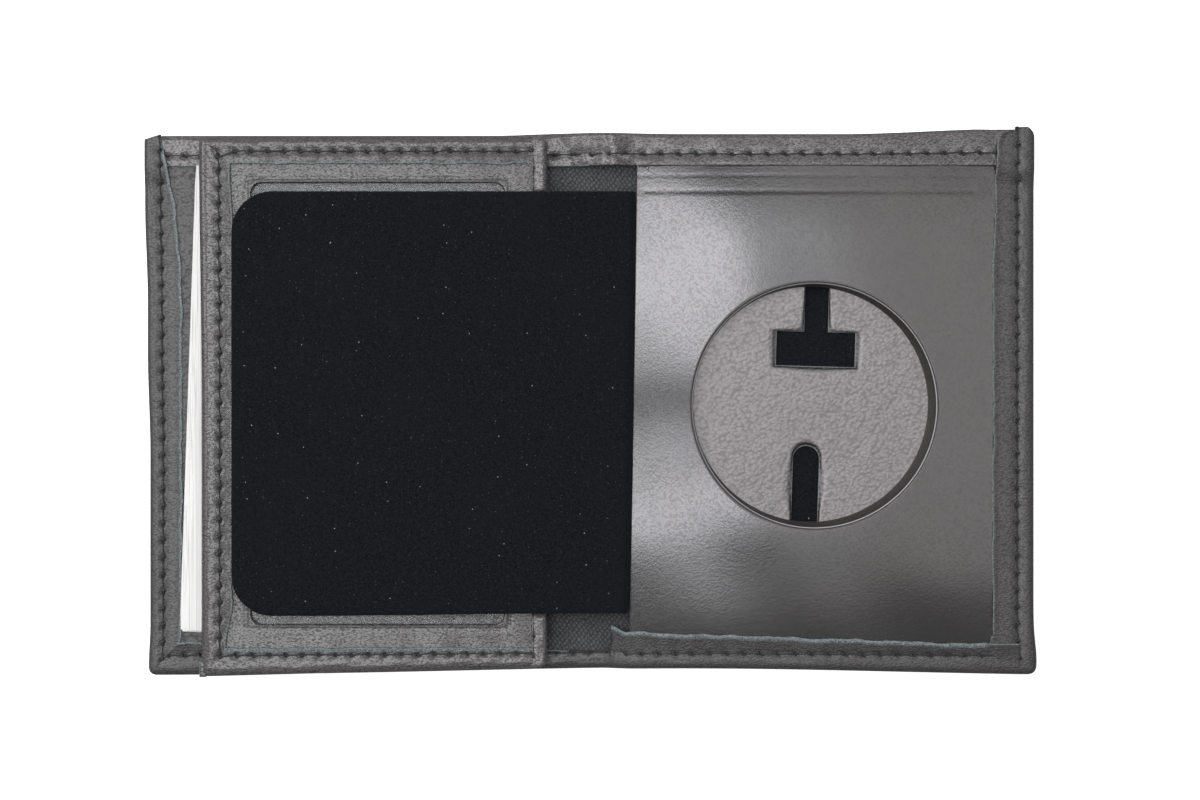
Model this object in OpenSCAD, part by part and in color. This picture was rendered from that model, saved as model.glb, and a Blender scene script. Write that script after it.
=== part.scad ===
// Folding badge and card wallet, lying open on a table with its inside up.
// X runs across the open wallet, Y up the page and Z out of the table.
// The origin is on the table, under the middle of the spine.

/* [Wallet] */
// Width of one half, from the middle of the spine to the outer edge
half_w = 88; // [86:0.5:92]
// Height of the wallet
wallet_h = 108; // [106:0.5:116]
// Radius of the outer corners
corner_r = 1.5; // [0.8:0.1:2]
// Rounding of the turned outer edges
edge_r = 0.8; // [0.5:0.05:1]
// Largest rounding of the facing's fold, as a share of its thickness
facing_round_share = 0.45; // [0.3:0.05:0.45]
// Slit between the halves and the spine at each fold
fold_gap = 0.1; // [0.05:0.05:0.3]
// Room between the badge face and the flap when the wallet is shut
close_gap = 0.4; // [0.3:0.1:1]

/* [Leather] */
// Thickness of the outer cover
cover_t = 1.0; // [0.8:0.05:1.4]
// Thickness of the lining
liner_t = 0.8; // [0.5:0.05:1]
// Thickness of the leather that turns round an edge
edge_t = 0.9; // [0.7:0.05:1.1]
// Thickness of a turned lip, which is pared thin
lip_t = 0.8; // [0.5:0.05:1]
// Height of the banknote compartment when it is empty
bill_gap = 0.3; // [0.2:0.05:0.6]
// Slit between a cut edge and the piece beside it
slit = 0.15; // [0.1:0.05:0.3]

/* [Turned edges] */
// Width of the left turned edge
left_lip_w = 7.1; // [6:0.1:8]
// Width that the left turned edge loses towards the top
taper_w = 4.2; // [2:0.1:5]
// Length of that taper, down from the top
taper_l = 39.4; // [30:0.1:50]
// Width of the right turned edge
right_lip_w = 8.4; // [7:0.1:9]
// Rounding of the right turned edge's top end
right_lip_r = 3; // [1:0.1:4]
// Width of the bottom turned edge
bottom_lip_w = 7; // [6:0.1:8]
// Width of the bottom turned edge across the spine
spine_lip_w = 3.6; // [2.5:0.1:5]
// Length of the curl where the right bottom edge starts
curl_l = 4; // [2:0.1:6]
// Height of that curl
curl_h = 1.8; // [1:0.1:2.5]
// Width of the leather facing along the top
facing_w = 6.4; // [5:0.1:8]
// Distance from the cover's top edge to the facing's fold
facing_drop = 0.6; // [0.3:0.1:1.5]

/* [Stitching] */
// Distance from one stitch to the next
stitch_pitch = 3.5; // [3:0.1:4.5]
// Length of a stitch
stitch_l = 2.3; // [1.8:0.1:2.6]
// Thickness of the thread across
stitch_w = 0.5; // [0.3:0.05:0.7]
// Height of the thread over the leather
stitch_h = 0.15; // [0.1:0.01:0.18]
// Distance from the outer edge to the left stitches
left_stitch_in = 3; // [2:0.1:3.5]
// Distance from the outer edge to the right stitches
right_stitch_in = 3.5; // [2.5:0.1:5]
// Distance from the outer edge to the bottom stitches
bottom_stitch_in = 4; // [2:0.1:5]
// Distance from the facing's fold to the top stitches
top_stitch_in = 4; // [2:0.1:4.6]
// Distance from the outer edge to the stitches across the spine
spine_stitch_in = 2.8; // [2:0.1:3.2]
// Knot pitch of the seam that holds the card leaf
seam_pitch = 4.6; // [4:0.1:6]

/* [Left pocket] */
// Thickness of the pocket's card panel
card_panel_t = 0.5; // [0.3:0.05:0.6]
// Thickness of one page
page_t = 0.26; // [0.2:0.01:0.3]
// Room between the insert's back and the gusset
insert_room = 6.5; // [4:0.1:12]
// Height of a page
page_h = 92.4; // [88:0.1:95]
// How much further out each lower page reaches
page_step = 0.4; // [0.1:0.05:0.6]
// Width of the insert's glued back
binding_w = 2.4; // [1.5:0.1:4]
// Lean of the insert in its pocket, in degrees
insert_lean = 1.95; // [0:0.05:2.5]
// Distance from the outer edge to the insert's top corner
insert_in = 9.8; // [9:0.1:12]
// Distance from the wallet's top edge to the insert's top corner
insert_drop = 6.6; // [5:0.1:8]
// Room over the turned edge for the insert to slide
insert_gap = 0.3; // [0.25:0.05:0.6]

/* [Card leaf] */
// Distance from the wallet's outer edge to the leaf's left edge
leaf_in = 11.4; // [10.5:0.1:13]
// Distance from the middle of the spine to the leaf's right edge
leaf_right = 8.4; // [8.2:0.1:9.5]
// Height of the leaf
leaf_h = 106; // [104:0.1:106]
// Room under the leaf for the insert
leaf_gap = 0.2; // [0.15:0.05:0.5]
// Thickness of the leaf's back
leaf_back_t = 0.8; // [0.5:0.05:1]
// Height of the empty card pocket between the back and the window sheet
card_gap = 0.2; // [0.15:0.05:1]
// Thickness of the clear window sheet
vinyl_t = 0.3; // [0.2:0.05:0.4]
// Thickness of the leaf's front
leaf_front_t = 0.8; // [0.5:0.05:1]
// Thickness of the leaf's turned edges
leaf_lip_t = 0.7; // [0.5:0.05:0.9]
// Width of the leaf's left turned edge
leaf_left_lip = 6.3; // [5:0.1:7]
// Width of the leaf's top turned edge
leaf_top_lip = 5.8; // [5:0.1:7]
// Width of the leaf's bottom turned edge
leaf_bottom_lip = 4.9; // [4.5:0.1:6]
// Width of the strip along the leaf's right edge
seam_strip_w = 3.2; // [2.5:0.1:4]
// Width of the card mouth in the leaf's back
mouth_w = 6.4; // [5:0.1:10]
// Distance from the leaf's left edge to its stitches
leaf_left_stitch = 3.7; // [2.5:0.1:4.5]
// Distance from the leaf's top edge to its stitches
leaf_top_stitch = 3.2; // [2.5:0.1:4.5]
// Distance from the leaf's bottom edge to its stitches
leaf_bottom_stitch = 3.6; // [2.5:0.1:4]

/* [Window] */
// Distance from the leaf's left edge to the window
window_left_in = 9.8; // [8:0.1:14]
// Distance from the leaf's right edge to the window
window_right_in = 8.4; // [7:0.1:9]
// Distance from the leaf's top and bottom edges to the window
window_end_in = 9.5; // [8:0.1:14]
// Corner radius of the window
window_r = 2.2; // [1:0.1:5]
// Border of the clear sheet behind the window
vinyl_border = 3; // [2:0.1:3.2]

/* [Gusset] */
// Thickness of the gusset that hinges the leaf
gusset_t = 0.8; // [0.5:0.05:0.9]
// Width of the gusset's foot on the lining
gusset_foot_w = 4; // [3:0.1:4.2]
// Width of the gusset's top flange under the leaf
gusset_flange_w = 3.6; // [3:0.1:4.2]
// Thickness of the gusset's foot and flange
gusset_flange_t = 0.5; // [0.3:0.05:0.5]

/* [Badge side] */
// Distance from the middle of the spine to the badge face's left edge
face_left = 9; // [8.8:0.1:11]
// Thickness of the velvet backing
velvet_t = 0.5; // [0.3:0.05:0.8]
// Thickness of the pebbled panel at the bottom of the recess
recess_t = 0.9; // [0.6:0.05:1.2]
// Thickness of the badge face, two layers of leather
face_t = 1.7; // [1.5:0.05:2.2]
// Thickness of the pared tongue of the face under the turned edges
tongue_t = 0.6; // [0.4:0.05:0.8]
// Depth of the face's pressed step along the top
press_t = 0.2; // [0.1:0.05:0.3]
// Distance from the facing to the first pressed step
press_1 = 1.5; // [1:0.1:3]
// Distance from the first pressed step to the second
press_2 = 3.3; // [2:0.1:5]

/* [Badge recess] */
// Radius of the round recess
recess_r = 24.1; // [20:0.1:27]
// Shift of the recess's centre off the middle of the face
recess_shift = 0.1; // [-2:0.1:2]
// Height of the recess's centre over the middle of the wallet
recess_y = -0.4; // [-3:0.1:3]
// Width of the clip slot's crossbar
bar_w = 15.6; // [12:0.1:18]
// Height of the crossbar
bar_h = 6.8; // [5:0.1:8]
// Height of the crossbar's middle over the recess's centre
bar_up = 11.2; // [9:0.1:14]
// Width of the clip slot's stem
stem_w = 4.7; // [4.5:0.1:6]
// Length of the stem
stem_l = 9; // [6:0.1:12]
// Shift of the clip slot off the recess's centre
bar_shift = 0.4; // [-1:0.1:1]
// Width of the pin slot
pin_w = 5.2; // [4.6:0.1:7]
// Length of the pin slot
pin_l = 18; // [12:0.1:20]
// Distance from the recess's centre down to the slot's round top
pin_down = 8; // [6:0.1:11]
// Shift of the pin slot off the recess's centre
pin_shift = -1.5; // [-3:0.1:3]
// Lean of both slots, in degrees
slot_lean = 1.6; // [0:0.1:2]
// Corner radius of the crossbar
bar_r = 0.6; // [0.3:0.1:1]

/* [Flap] */
// Length of the flap
flap_l = 78.2; // [70:0.1:79]
// Width of the flap up the page
flap_w = 83.4; // [76:0.1:88]
// Radius of the flap's free corners
flap_r = 8; // [4:0.5:15]
// Thickness of the flap's leather
flap_leather_t = 0.8; // [0.5:0.05:1]
// Room between the leaf's stitches and the flap
flap_gap = 0.15; // [0.1:0.05:0.4]
// Distance from the flap's root to its hinge line
flap_root = 1; // [0.8:0.05:1.2]
// Thickness of the flap's bend that goes down behind the face
bend_t = 0.8; // [0.5:0.05:0.9]
// Room between that bend and the flap
bend_gap = 0.4; // [0.3:0.05:0.6]
// Room between the bend and the flap's hinge line
bend_in = 0.6; // [0.5:0.05:0.8]
// Distance from the face's left edge to the flap's hinge line
flap_hinge_in = 0.2; // [0.1:0.05:0.5]

/* [Hidden] */
$fn = 48;

// Pages of the photo insert
pages = 5;
// Overrun of every cut
cut = 1;
// Height of a cut that has to clear all the leather
deep = 20;

// Colours
leather = "#6e6c6b";
leather_dark = "#4a4949";
lining = "#3a3939";
velvet = "#161518";
thread = "#15151a";
paper = "#e9e6e4";
clear = [0.75, 0.8, 0.85, 0.35];

// Layers of both halves
liner_z = cover_t + bill_gap;
liner_top = liner_z + liner_t;
lip_top = liner_top + lip_t;

// Layers of the insert and the card leaf
insert_z = lip_top + insert_gap;
leaf_z = insert_z + pages * page_t + leaf_gap;
leaf_back_top = leaf_z + leaf_back_t;
vinyl_z = leaf_back_top + card_gap;
leaf_front_z = vinyl_z + vinyl_t;
leaf_front_top = leaf_front_z + leaf_front_t;
leaf_top = leaf_front_top + leaf_lip_t;

// Layers of the flap over the leaf
flap_z = leaf_top + stitch_h + flap_gap;
flap_velvet_z = flap_z + flap_leather_t;
flap_top = flap_velvet_z + velvet_t;

// Layers of the badge side
recess_z = liner_top + velvet_t;
face_z = recess_z + recess_t;
face_top = face_z + face_t;
seat_z = face_z + tongue_t;
seat_top = seat_z + lip_t;

// Fold lines: the spine is as wide as the shut wallet is thick between them
fold_z = lip_top + stitch_h + fold_gap / 2;
shut_t = flap_top + face_top + close_gap;
spine_w = shut_t - 2 * fold_z;
fold_x = spine_w / 2;

// Hinge line of the flap, in the middle of the shut wallet
flap_hinge_x = face_left - flap_hinge_in;
flap_hinge_z = shut_t / 2;
flap_right = flap_hinge_x - flap_root;
flap_left = flap_right - flap_l;

// Rounding of the facing's fold, which its own thickness limits
facing_r = min(edge_r, facing_round_share * (liner_t + lip_t));

// Places up the page
top_y = wallet_h / 2;
facing_top = top_y - facing_drop;
facing_low = facing_top - facing_w;
lip_low = -top_y + bottom_lip_w;
press_1_y = facing_low - press_1;
press_2_y = press_1_y - press_2;

// Places across the wallet
left_raw = -half_w + left_lip_w;
right_raw = half_w - right_lip_w;
leaf_left = -half_w + leaf_in;
seam_x = -leaf_right - seam_strip_w;
gusset_x = -leaf_right - gusset_flange_t;
window_left = leaf_left + window_left_in;
window_right = -leaf_right - window_right_in;
window_top = leaf_h / 2 - window_end_in;
page_w = half_w - insert_in - binding_w - insert_room + gusset_x - gusset_t;
recess_x = (face_left + right_raw) / 2 + recess_shift;

// Radius of the arc that joins the taper smoothly to the straight edge
taper_r = (taper_l * taper_l + taper_w * taper_w) / (2 * taper_w);
// Radius of the arc of the curl
curl_r = (curl_l * curl_l + curl_h * curl_h) / (2 * curl_h);

// Rectangle from its low corner to its high corner
module box_2d(x0, y0, x1, y1) {
    translate([x0, y0]) square([x1 - x0, y1 - y0]);
}

// The same rectangle with all four corners rounded
module soft_box_2d(x0, y0, x1, y1, r) {
    box_2d(x0 + r, y0, x1 - r, y1);
    box_2d(x0, y0 + r, x1, y1 - r);
    for (x = [x0 + r, x1 - r])
        for (y = [y0 + r, y1 - r])
            translate([x, y]) circle(r);
}

// Plate over a flat outline, from z0 to z1
module plate(z0, z1) {
    translate([0, 0, z0]) linear_extrude(z1 - z0) children();
}

// Outline in Y and Z, carried along X from x0 to x1
module along_x(x0, x1) {
    translate([x0, 0, 0]) rotate([90, 0, 90]) linear_extrude(x1 - x0) children();
}

// Outline in X and Z, carried along Y from y0 to y1
module along_y(y0, y1) {
    translate([0, y1, 0]) rotate([90, 0, 0]) linear_extrude(y1 - y0) children();
}

// Slab with rounded corners in plan and rounded edges all round, as folded leather has
module folded_slab(x0, y0, x1, y1, z0, z1, plan_r, fold_r) {
    intersection() {
        along_y(y0, y1) soft_box_2d(x0, z0, x1, z1, fold_r);
        along_x(x0, x1) soft_box_2d(y0, z0, y1, z1, fold_r);
        plate(z0, z1) soft_box_2d(x0, y0, x1, y1, plan_r);
    }
}

// Outline inside the left turned edge: straight below, arc to the tapered top
module inside_left_lip(grow) {
    box_2d(left_raw + grow, lip_low + grow, -fold_x + cut, top_y + cut);
    difference() {
        box_2d(-half_w, top_y - taper_l, left_raw + grow + cut, top_y + cut);
        translate([left_raw - taper_r, top_y - taper_l]) circle(taper_r + grow, $fn = 240);
    }
}

// Outline inside the bottom turned edge across the spine
module inside_spine_lip(grow) {
    box_2d(-fold_x - cut, -top_y + spine_lip_w + grow, fold_x + cut, top_y + cut);
}

// Outline inside the right turned edge, with the curl where the bottom edge starts
module inside_right_lip(grow) {
    difference() {
        union() {
            box_2d(fold_x - cut, lip_low + grow, right_raw - grow, top_y + cut);
            difference() {
                box_2d(right_raw - cut, top_y - right_lip_r, right_raw + right_lip_r, top_y + cut);
                translate([right_raw + right_lip_r, top_y - right_lip_r]) circle(right_lip_r + grow);
            }
        }
        difference() {
            box_2d(fold_x - cut, lip_low - cut, fold_x + curl_l, lip_low + curl_h + grow);
            translate([fold_x + curl_l, lip_low + curl_r + grow]) circle(curl_r, $fn = 120);
        }
    }
}

// Cover with turned edges between x0 and x1: a folded slab, hollowed for the layers
// that lie in it and open inside its lip, whose outline is the child
module turned_cover(x0, x1, seat) {
    difference() {
        intersection() {
            folded_slab(-half_w, -top_y, half_w, top_y, 0, seat + lip_t, corner_r, edge_r);
            plate(-cut, deep) box_2d(x0, -top_y - cut, x1, top_y + cut);
        }
        plate(cover_t, seat) box_2d(-half_w + edge_t, -top_y + edge_t, half_w - edge_t, top_y + cut);
        plate(seat, deep) children();
    }
}

// Lining between x0 and x1, seated in the cover's edges and behind the facing's fold
module liner_sheet(x0, x1) {
    plate(liner_z, liner_top) box_2d(x0, -top_y + edge_t, x1, facing_top - edge_t);
}

// Leather facing folded over the top of the layers below it; the child limits its face
module top_facing(x0, x1, seat) {
    difference() {
        along_x(x0, x1) intersection() {
            soft_box_2d(facing_low - facing_r, liner_z, facing_top, seat + lip_t, facing_r);
            box_2d(facing_low, liner_z, facing_top, seat + lip_t);
        }
        plate(liner_z - cut, seat) box_2d(x0 - cut, facing_low - cut, x1 + cut, facing_top - edge_t);
        plate(seat, deep) difference() {
            box_2d(x0 - cut, facing_low - cut, x1 + cut, facing_top + cut);
            children();
        }
    }
}

// Row of stitches along X from x0 to x1
module stitches_x(x0, x1, y, z, pitch = stitch_pitch) {
    count = floor((x1 - x0) / pitch);
    start = (x0 + x1 - count * pitch) / 2;
    for (i = [0:count - 1])
        translate([start + (i + 0.5) * pitch - stitch_l / 2, y - stitch_w / 2, z])
            cube([stitch_l, stitch_w, stitch_h]);
}

// Row of stitches along Y from y0 to y1
module stitches_y(x, y0, y1, z, pitch = stitch_pitch) {
    count = floor((y1 - y0) / pitch);
    start = (y0 + y1 - count * pitch) / 2;
    for (i = [0:count - 1])
        translate([x - stitch_w / 2, start + (i + 0.5) * pitch - stitch_l / 2, z])
            cube([stitch_w, stitch_l, stitch_h]);
}

// Left half of the wallet

module left_cover() {
    color(leather)
        turned_cover(-half_w, -fold_x - fold_gap / 2, liner_top) inside_left_lip(0);
}

module left_liner() {
    color(lining) liner_sheet(-half_w + edge_t, -fold_x - fold_gap / 2);
}

module left_top_facing() {
    color(leather)
        top_facing(-half_w + edge_t, -fold_x - fold_gap / 2, liner_top) inside_left_lip(slit);
}

module left_card_panel() {
    color(leather_dark)
        plate(liner_top, liner_top + card_panel_t) intersection() {
            inside_left_lip(slit);
            box_2d(-half_w, -top_y, gusset_x - gusset_t - slit, facing_low - slit);
        }
}

module left_stitching() {
    color(thread) {
        stitches_y(-half_w + left_stitch_in, -top_y + bottom_lip_w, top_y - bottom_stitch_in, lip_top);
        stitches_x(-half_w + left_lip_w, -fold_x - slit, -top_y + bottom_stitch_in, lip_top);
        stitches_x(-half_w + left_lip_w, -fold_x - slit, facing_top - top_stitch_in, lip_top);
    }
}

// Card leaf, which stands on its gusset like a page

// Outline of the leaf's face inside its turned edges
module inside_leaf_lips(grow) {
    box_2d(leaf_left + leaf_left_lip + grow, -leaf_h / 2 + leaf_bottom_lip + grow,
           seam_x + cut, leaf_h / 2 - leaf_top_lip - grow);
}

module leaf_back() {
    color(leather)
        difference() {
            intersection() {
                folded_slab(leaf_left, -leaf_h / 2, -leaf_right, leaf_h / 2, leaf_z, leaf_top,
                            corner_r, edge_r);
                plate(0, deep) box_2d(leaf_left - cut, -leaf_h / 2 - cut, seam_x - slit, leaf_h / 2 + cut);
            }
            plate(leaf_back_top, leaf_front_top)
                box_2d(leaf_left + edge_t, -leaf_h / 2 + edge_t, cut, leaf_h / 2 - edge_t);
            plate(leaf_front_top, deep) inside_leaf_lips(0);
            plate(0, leaf_front_z)
                box_2d(seam_x - mouth_w, -leaf_h / 2 + edge_t, cut, leaf_h / 2 - edge_t);
        }
}

module leaf_front() {
    color(leather)
        plate(leaf_front_z, leaf_front_top) difference() {
            box_2d(leaf_left + edge_t, -leaf_h / 2 + edge_t, gusset_x, leaf_h / 2 - edge_t);
            soft_box_2d(window_left, -window_top, window_right, window_top, window_r);
        }
}

module leaf_window() {
    color(clear)
        plate(vinyl_z, leaf_front_z)
            soft_box_2d(window_left - vinyl_border, -window_top - vinyl_border,
                        window_right + vinyl_border, window_top + vinyl_border, window_r);
}

// Strip in the form of a Z, from its foot on the lining up to its flange under the leaf's front
module leaf_gusset() {
    color(leather_dark)
        along_y(lip_low + slit, facing_low - slit) {
            box_2d(gusset_x - gusset_t, liner_top, gusset_x, leaf_front_z);
            box_2d(gusset_x - gusset_t, liner_top, gusset_x - gusset_t + gusset_foot_w,
                   liner_top + gusset_flange_t);
            box_2d(gusset_x - gusset_flange_w, leaf_front_z - gusset_flange_t, gusset_x, leaf_front_z);
        }
}

module leaf_seam_strip() {
    color(leather)
        difference() {
            intersection() {
                folded_slab(leaf_left, -leaf_h / 2, -leaf_right, leaf_h / 2, leaf_z, leaf_top,
                            corner_r, edge_r);
                plate(leaf_back_top, deep) box_2d(seam_x, -leaf_h / 2, cut, leaf_h / 2);
            }
            plate(0, leaf_front_top)
                box_2d(seam_x - cut, -leaf_h / 2 + edge_t, gusset_x, leaf_h / 2 - edge_t);
        }
}

module leaf_stitching() {
    color(thread) {
        stitches_y(leaf_left + leaf_left_stitch, -leaf_h / 2 + leaf_bottom_lip, leaf_h / 2 - leaf_top_lip,
                   leaf_top);
        stitches_x(leaf_left + leaf_left_lip, seam_x - slit, -leaf_h / 2 + leaf_bottom_stitch, leaf_top);
        stitches_x(leaf_left + leaf_left_lip, seam_x - slit, leaf_h / 2 - leaf_top_stitch, leaf_top);
        stitches_y(seam_x + stitch_w, -leaf_h / 2 + edge_t, leaf_h / 2 - edge_t, leaf_top, seam_pitch);
    }
}

// Spine between the two folds

module spine_cover() {
    color(leather)
        turned_cover(-fold_x + fold_gap / 2, fold_x - fold_gap / 2, liner_top) inside_spine_lip(0);
}

module spine_liner() {
    color(lining) liner_sheet(-fold_x + fold_gap / 2, fold_x - fold_gap / 2);
}

module spine_top_facing() {
    color(leather)
        top_facing(-fold_x + fold_gap / 2, fold_x - fold_gap / 2, liner_top) inside_spine_lip(0);
}

module spine_stitching() {
    color(thread) {
        stitches_x(-fold_x + slit, fold_x - slit, -top_y + spine_stitch_in, lip_top);
        stitches_x(-fold_x + slit, fold_x - slit, facing_top - top_stitch_in, lip_top);
    }
}

// Right half of the wallet, which holds the badge

module right_cover() {
    color(leather)
        turned_cover(fold_x + fold_gap / 2, half_w, seat_z) inside_right_lip(0);
}

module right_liner() {
    color(lining) liner_sheet(fold_x + fold_gap / 2, half_w - edge_t);
}

module right_top_facing() {
    color(leather)
        top_facing(fold_x + fold_gap / 2, half_w - edge_t, seat_z) inside_right_lip(slit);
}

module right_stitching() {
    color(thread) {
        stitches_y(half_w - right_stitch_in, -top_y + bottom_lip_w, top_y - bottom_stitch_in, seat_top);
        stitches_x(fold_x + slit, half_w - right_lip_w, -top_y + bottom_stitch_in, seat_top);
        stitches_x(fold_x + slit, half_w - right_lip_w, facing_top - top_stitch_in, seat_top);
    }
}

// Velvet sheet behind the slots, with the bend that rises to the flap's root
module badge_backing() {
    bend_right = flap_hinge_x - bend_in;
    color(velvet)
        along_y(-flap_w / 2, flap_w / 2) {
            box_2d(bend_right - bend_t, liner_top, half_w - edge_t, recess_z);
            box_2d(bend_right - bend_t, liner_top, bend_right, flap_z - bend_gap);
        }
}

// Outline of everything that lies in the badge side's turned edges
module badge_outline() {
    box_2d(face_left, -top_y + edge_t, half_w - edge_t, facing_top - edge_t);
}

// Clip slot: a crossbar with a stem that runs up to the recess's edge
module clip_slot_2d() {
    translate([recess_x + bar_shift, recess_y + bar_up]) rotate(-slot_lean) {
        soft_box_2d(-bar_w / 2, -bar_h / 2, bar_w / 2, bar_h / 2, bar_r);
        box_2d(-stem_w / 2, 0, stem_w / 2, bar_h / 2 + stem_l);
    }
}

// Pin slot: round at the top, square at the bottom edge
module pin_slot_2d() {
    translate([recess_x + pin_shift, recess_y - pin_down]) rotate(-slot_lean) {
        translate([0, -pin_w / 2]) circle(d = pin_w);
        box_2d(-pin_w / 2, -pin_l, pin_w / 2, -pin_w / 2);
    }
}

module badge_recess_panel() {
    color(leather)
        plate(recess_z, face_z) difference() {
            badge_outline();
            clip_slot_2d();
            pin_slot_2d();
        }
}

module badge_face_panel() {
    color(leather)
        difference() {
            union() {
                plate(face_z, seat_z) badge_outline();
                plate(face_z, face_top) difference() {
                    intersection() {
                        badge_outline();
                        inside_right_lip(slit);
                    }
                    box_2d(face_left - cut, facing_low - slit, half_w, top_y);
                }
            }
            translate([recess_x, recess_y, face_z - cut]) cylinder(h = face_t + 2 * cut, r = recess_r, $fn = 96);
            plate(face_top - press_t, deep) box_2d(face_left - cut, press_2_y, half_w, top_y);
            plate(face_top - 2 * press_t, deep) box_2d(face_left - cut, press_1_y, half_w, top_y);
        }
}

// Velvet-faced flap that covers the badge when it is turned over

module flap_outline() {
    intersection() {
        soft_box_2d(flap_left, -flap_w / 2, flap_right + flap_r, flap_w / 2, flap_r);
        box_2d(flap_left, -flap_w / 2, flap_right, flap_w / 2);
    }
}

module flap_leather() {
    color(leather_dark) plate(flap_z, flap_velvet_z) flap_outline();
}

module flap_velvet() {
    color(velvet) plate(flap_velvet_z, flap_top) flap_outline();
}

// Photo insert, which leans a little in its pocket and slides out to the left

module in_insert() {
    translate([-half_w + insert_in, top_y - insert_drop, 0]) rotate(-insert_lean) children();
}

// Page number i, counted from the bottom; lower pages reach further out
module photo_page(i) {
    low = insert_z + (i - 1) * page_t;
    step = (pages - i) * page_step;
    color(paper)
        in_insert() plate(low, low + page_t) box_2d(-step, -page_h, page_w, 0);
}

module photo_page_1() { photo_page(1); }
module photo_page_2() { photo_page(2); }
module photo_page_3() { photo_page(3); }
module photo_page_4() { photo_page(4); }
module photo_page_5() { photo_page(5); }

module photo_insert_binding() {
    color(paper)
        in_insert() plate(insert_z, insert_z + pages * page_t)
            box_2d(page_w, -page_h, page_w + binding_w, 0);
}

left_cover();
left_liner();
left_top_facing();
left_card_panel();
left_stitching();
leaf_back();
leaf_front();
leaf_window();
leaf_gusset();
leaf_seam_strip();
leaf_stitching();
spine_cover();
spine_liner();
spine_top_facing();
spine_stitching();
right_cover();
right_liner();
right_top_facing();
right_stitching();
badge_backing();
badge_recess_panel();
badge_face_panel();
flap_leather();
flap_velvet();
photo_page_1();
photo_page_2();
photo_page_3();
photo_page_4();
photo_page_5();
photo_insert_binding();
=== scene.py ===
# %% [markdown]
# # A badge wallet in leather, velvet and clear film
#
# The wallet lies open. At the left is a leaf with a card window, over a stack of photo pages. At the
# right is a stiff leather face with a round seat for a badge. A velvet flap lies over the leaf. The
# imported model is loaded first, because it fixes every size, and each piece is made again around it.

import math

import bmesh
import bpy
import mathutils
import numpy as np
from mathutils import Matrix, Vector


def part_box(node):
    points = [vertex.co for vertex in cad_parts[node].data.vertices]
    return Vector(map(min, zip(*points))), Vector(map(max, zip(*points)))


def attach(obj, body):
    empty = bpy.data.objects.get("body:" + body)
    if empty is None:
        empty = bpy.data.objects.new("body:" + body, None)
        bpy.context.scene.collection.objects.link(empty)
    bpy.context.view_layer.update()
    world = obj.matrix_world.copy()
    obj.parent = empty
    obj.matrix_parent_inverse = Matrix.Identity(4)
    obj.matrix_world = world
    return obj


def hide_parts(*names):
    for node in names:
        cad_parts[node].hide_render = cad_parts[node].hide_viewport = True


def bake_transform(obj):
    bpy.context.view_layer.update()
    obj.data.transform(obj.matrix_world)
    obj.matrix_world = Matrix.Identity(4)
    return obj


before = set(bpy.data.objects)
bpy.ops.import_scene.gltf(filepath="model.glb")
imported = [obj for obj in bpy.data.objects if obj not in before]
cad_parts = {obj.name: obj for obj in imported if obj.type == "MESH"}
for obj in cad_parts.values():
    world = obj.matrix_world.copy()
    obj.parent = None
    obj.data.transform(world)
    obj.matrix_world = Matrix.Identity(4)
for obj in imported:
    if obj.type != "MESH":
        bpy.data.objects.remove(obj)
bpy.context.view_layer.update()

# %% [markdown]
# ## Sizes
#
# All sizes are in millimetres, and become metres only where a mesh is filled. A *lip* is an edge that
# is turned in and sewn down, and its *raw* edge is where the knife cut it.

# %% Sizes of the wallet
MM = 0.001
HALF_W, HALF_H = 88.0, 54.0
PLATE_T, LIP_T = 1.0, 0.8
LOW_LIP, HIGH_LIP = 2.9, 4.9
LINING_LOW, LINING_HIGH = 1.3, 2.1
LEFT_LIP, BOTTOM_LIP, SPINE_LIP, RIGHT_LIP = 7.1, 6.6, 4.7, 8.4
LEAF_X0, LEAF_X1, LEAF_Y = -76.6, -11.3, 53.0
LEAF_LOW, LEAF_BACK_T, LEAF_TOP = 4.7, 0.8, 7.5
PITCH, SEAM_PITCH = 3.5, 4.6
print("open wallet", 2 * HALF_W, "by", 2 * HALF_H, "mm")

# %% [markdown]
# ## Helpers for shape
#
# Every sheet is a grid of points for its upper side and one for its under side, joined by walls round
# the rim. Where a rim is rounded, the two grids meet in it and are merged, so each shell is closed.
# `ripple` is the slight unevenness that keeps leather from looking like plastic.

# %% Easing and unevenness
ARC = np.linspace(0, np.pi / 2, 7)
ARC_IN, ARC_OUT = 1 - np.cos(ARC), 1 - np.sin(ARC)  # a quarter circle's run from 0 to 1, and from 1 to 0


def step(start, end, value):
    """Eases from 0 at start to 1 at end: with t the clipped share of the way, 3 t squared - 2 t cubed."""
    t = np.clip((value - start) / (end - start), 0, 1)
    return t * t * (3 - 2 * t)


def ramps(value, *rows):
    """The sum of some eased steps, each given as its height, start and end."""
    return sum(height * step(start, end, value) for height, start, end in rows)


def bell(value, width):
    """A bump of height 1: e to the power of minus (value over width) squared."""
    return np.exp(-((value / width) ** 2))


def at_holes(phase, width, pitch=PITCH):
    """A bell at each stitch hole, where phase counts the stitches along a row and holes are at whole
    numbers."""
    return bell((phase - np.round(phase)) * pitch, width)


def ripple(x, y, size, seed, waves=7):
    """The mean of a few sine waves of lengths near size, in directions and phases drawn from seed."""
    draw = np.random.default_rng(seed)
    turn = draw.uniform(0, np.pi, waves)
    rate = 2 * np.pi / (size * draw.uniform(0.6, 1.7, waves))
    phase = draw.uniform(0, 2 * np.pi, waves)
    x, y = np.broadcast_arrays(np.asarray(x, float), np.asarray(y, float))
    along = x[..., None] * np.cos(turn) + y[..., None] * np.sin(turn)
    return np.sin(rate * along + phase).sum(-1) / math.sqrt(waves)


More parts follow.
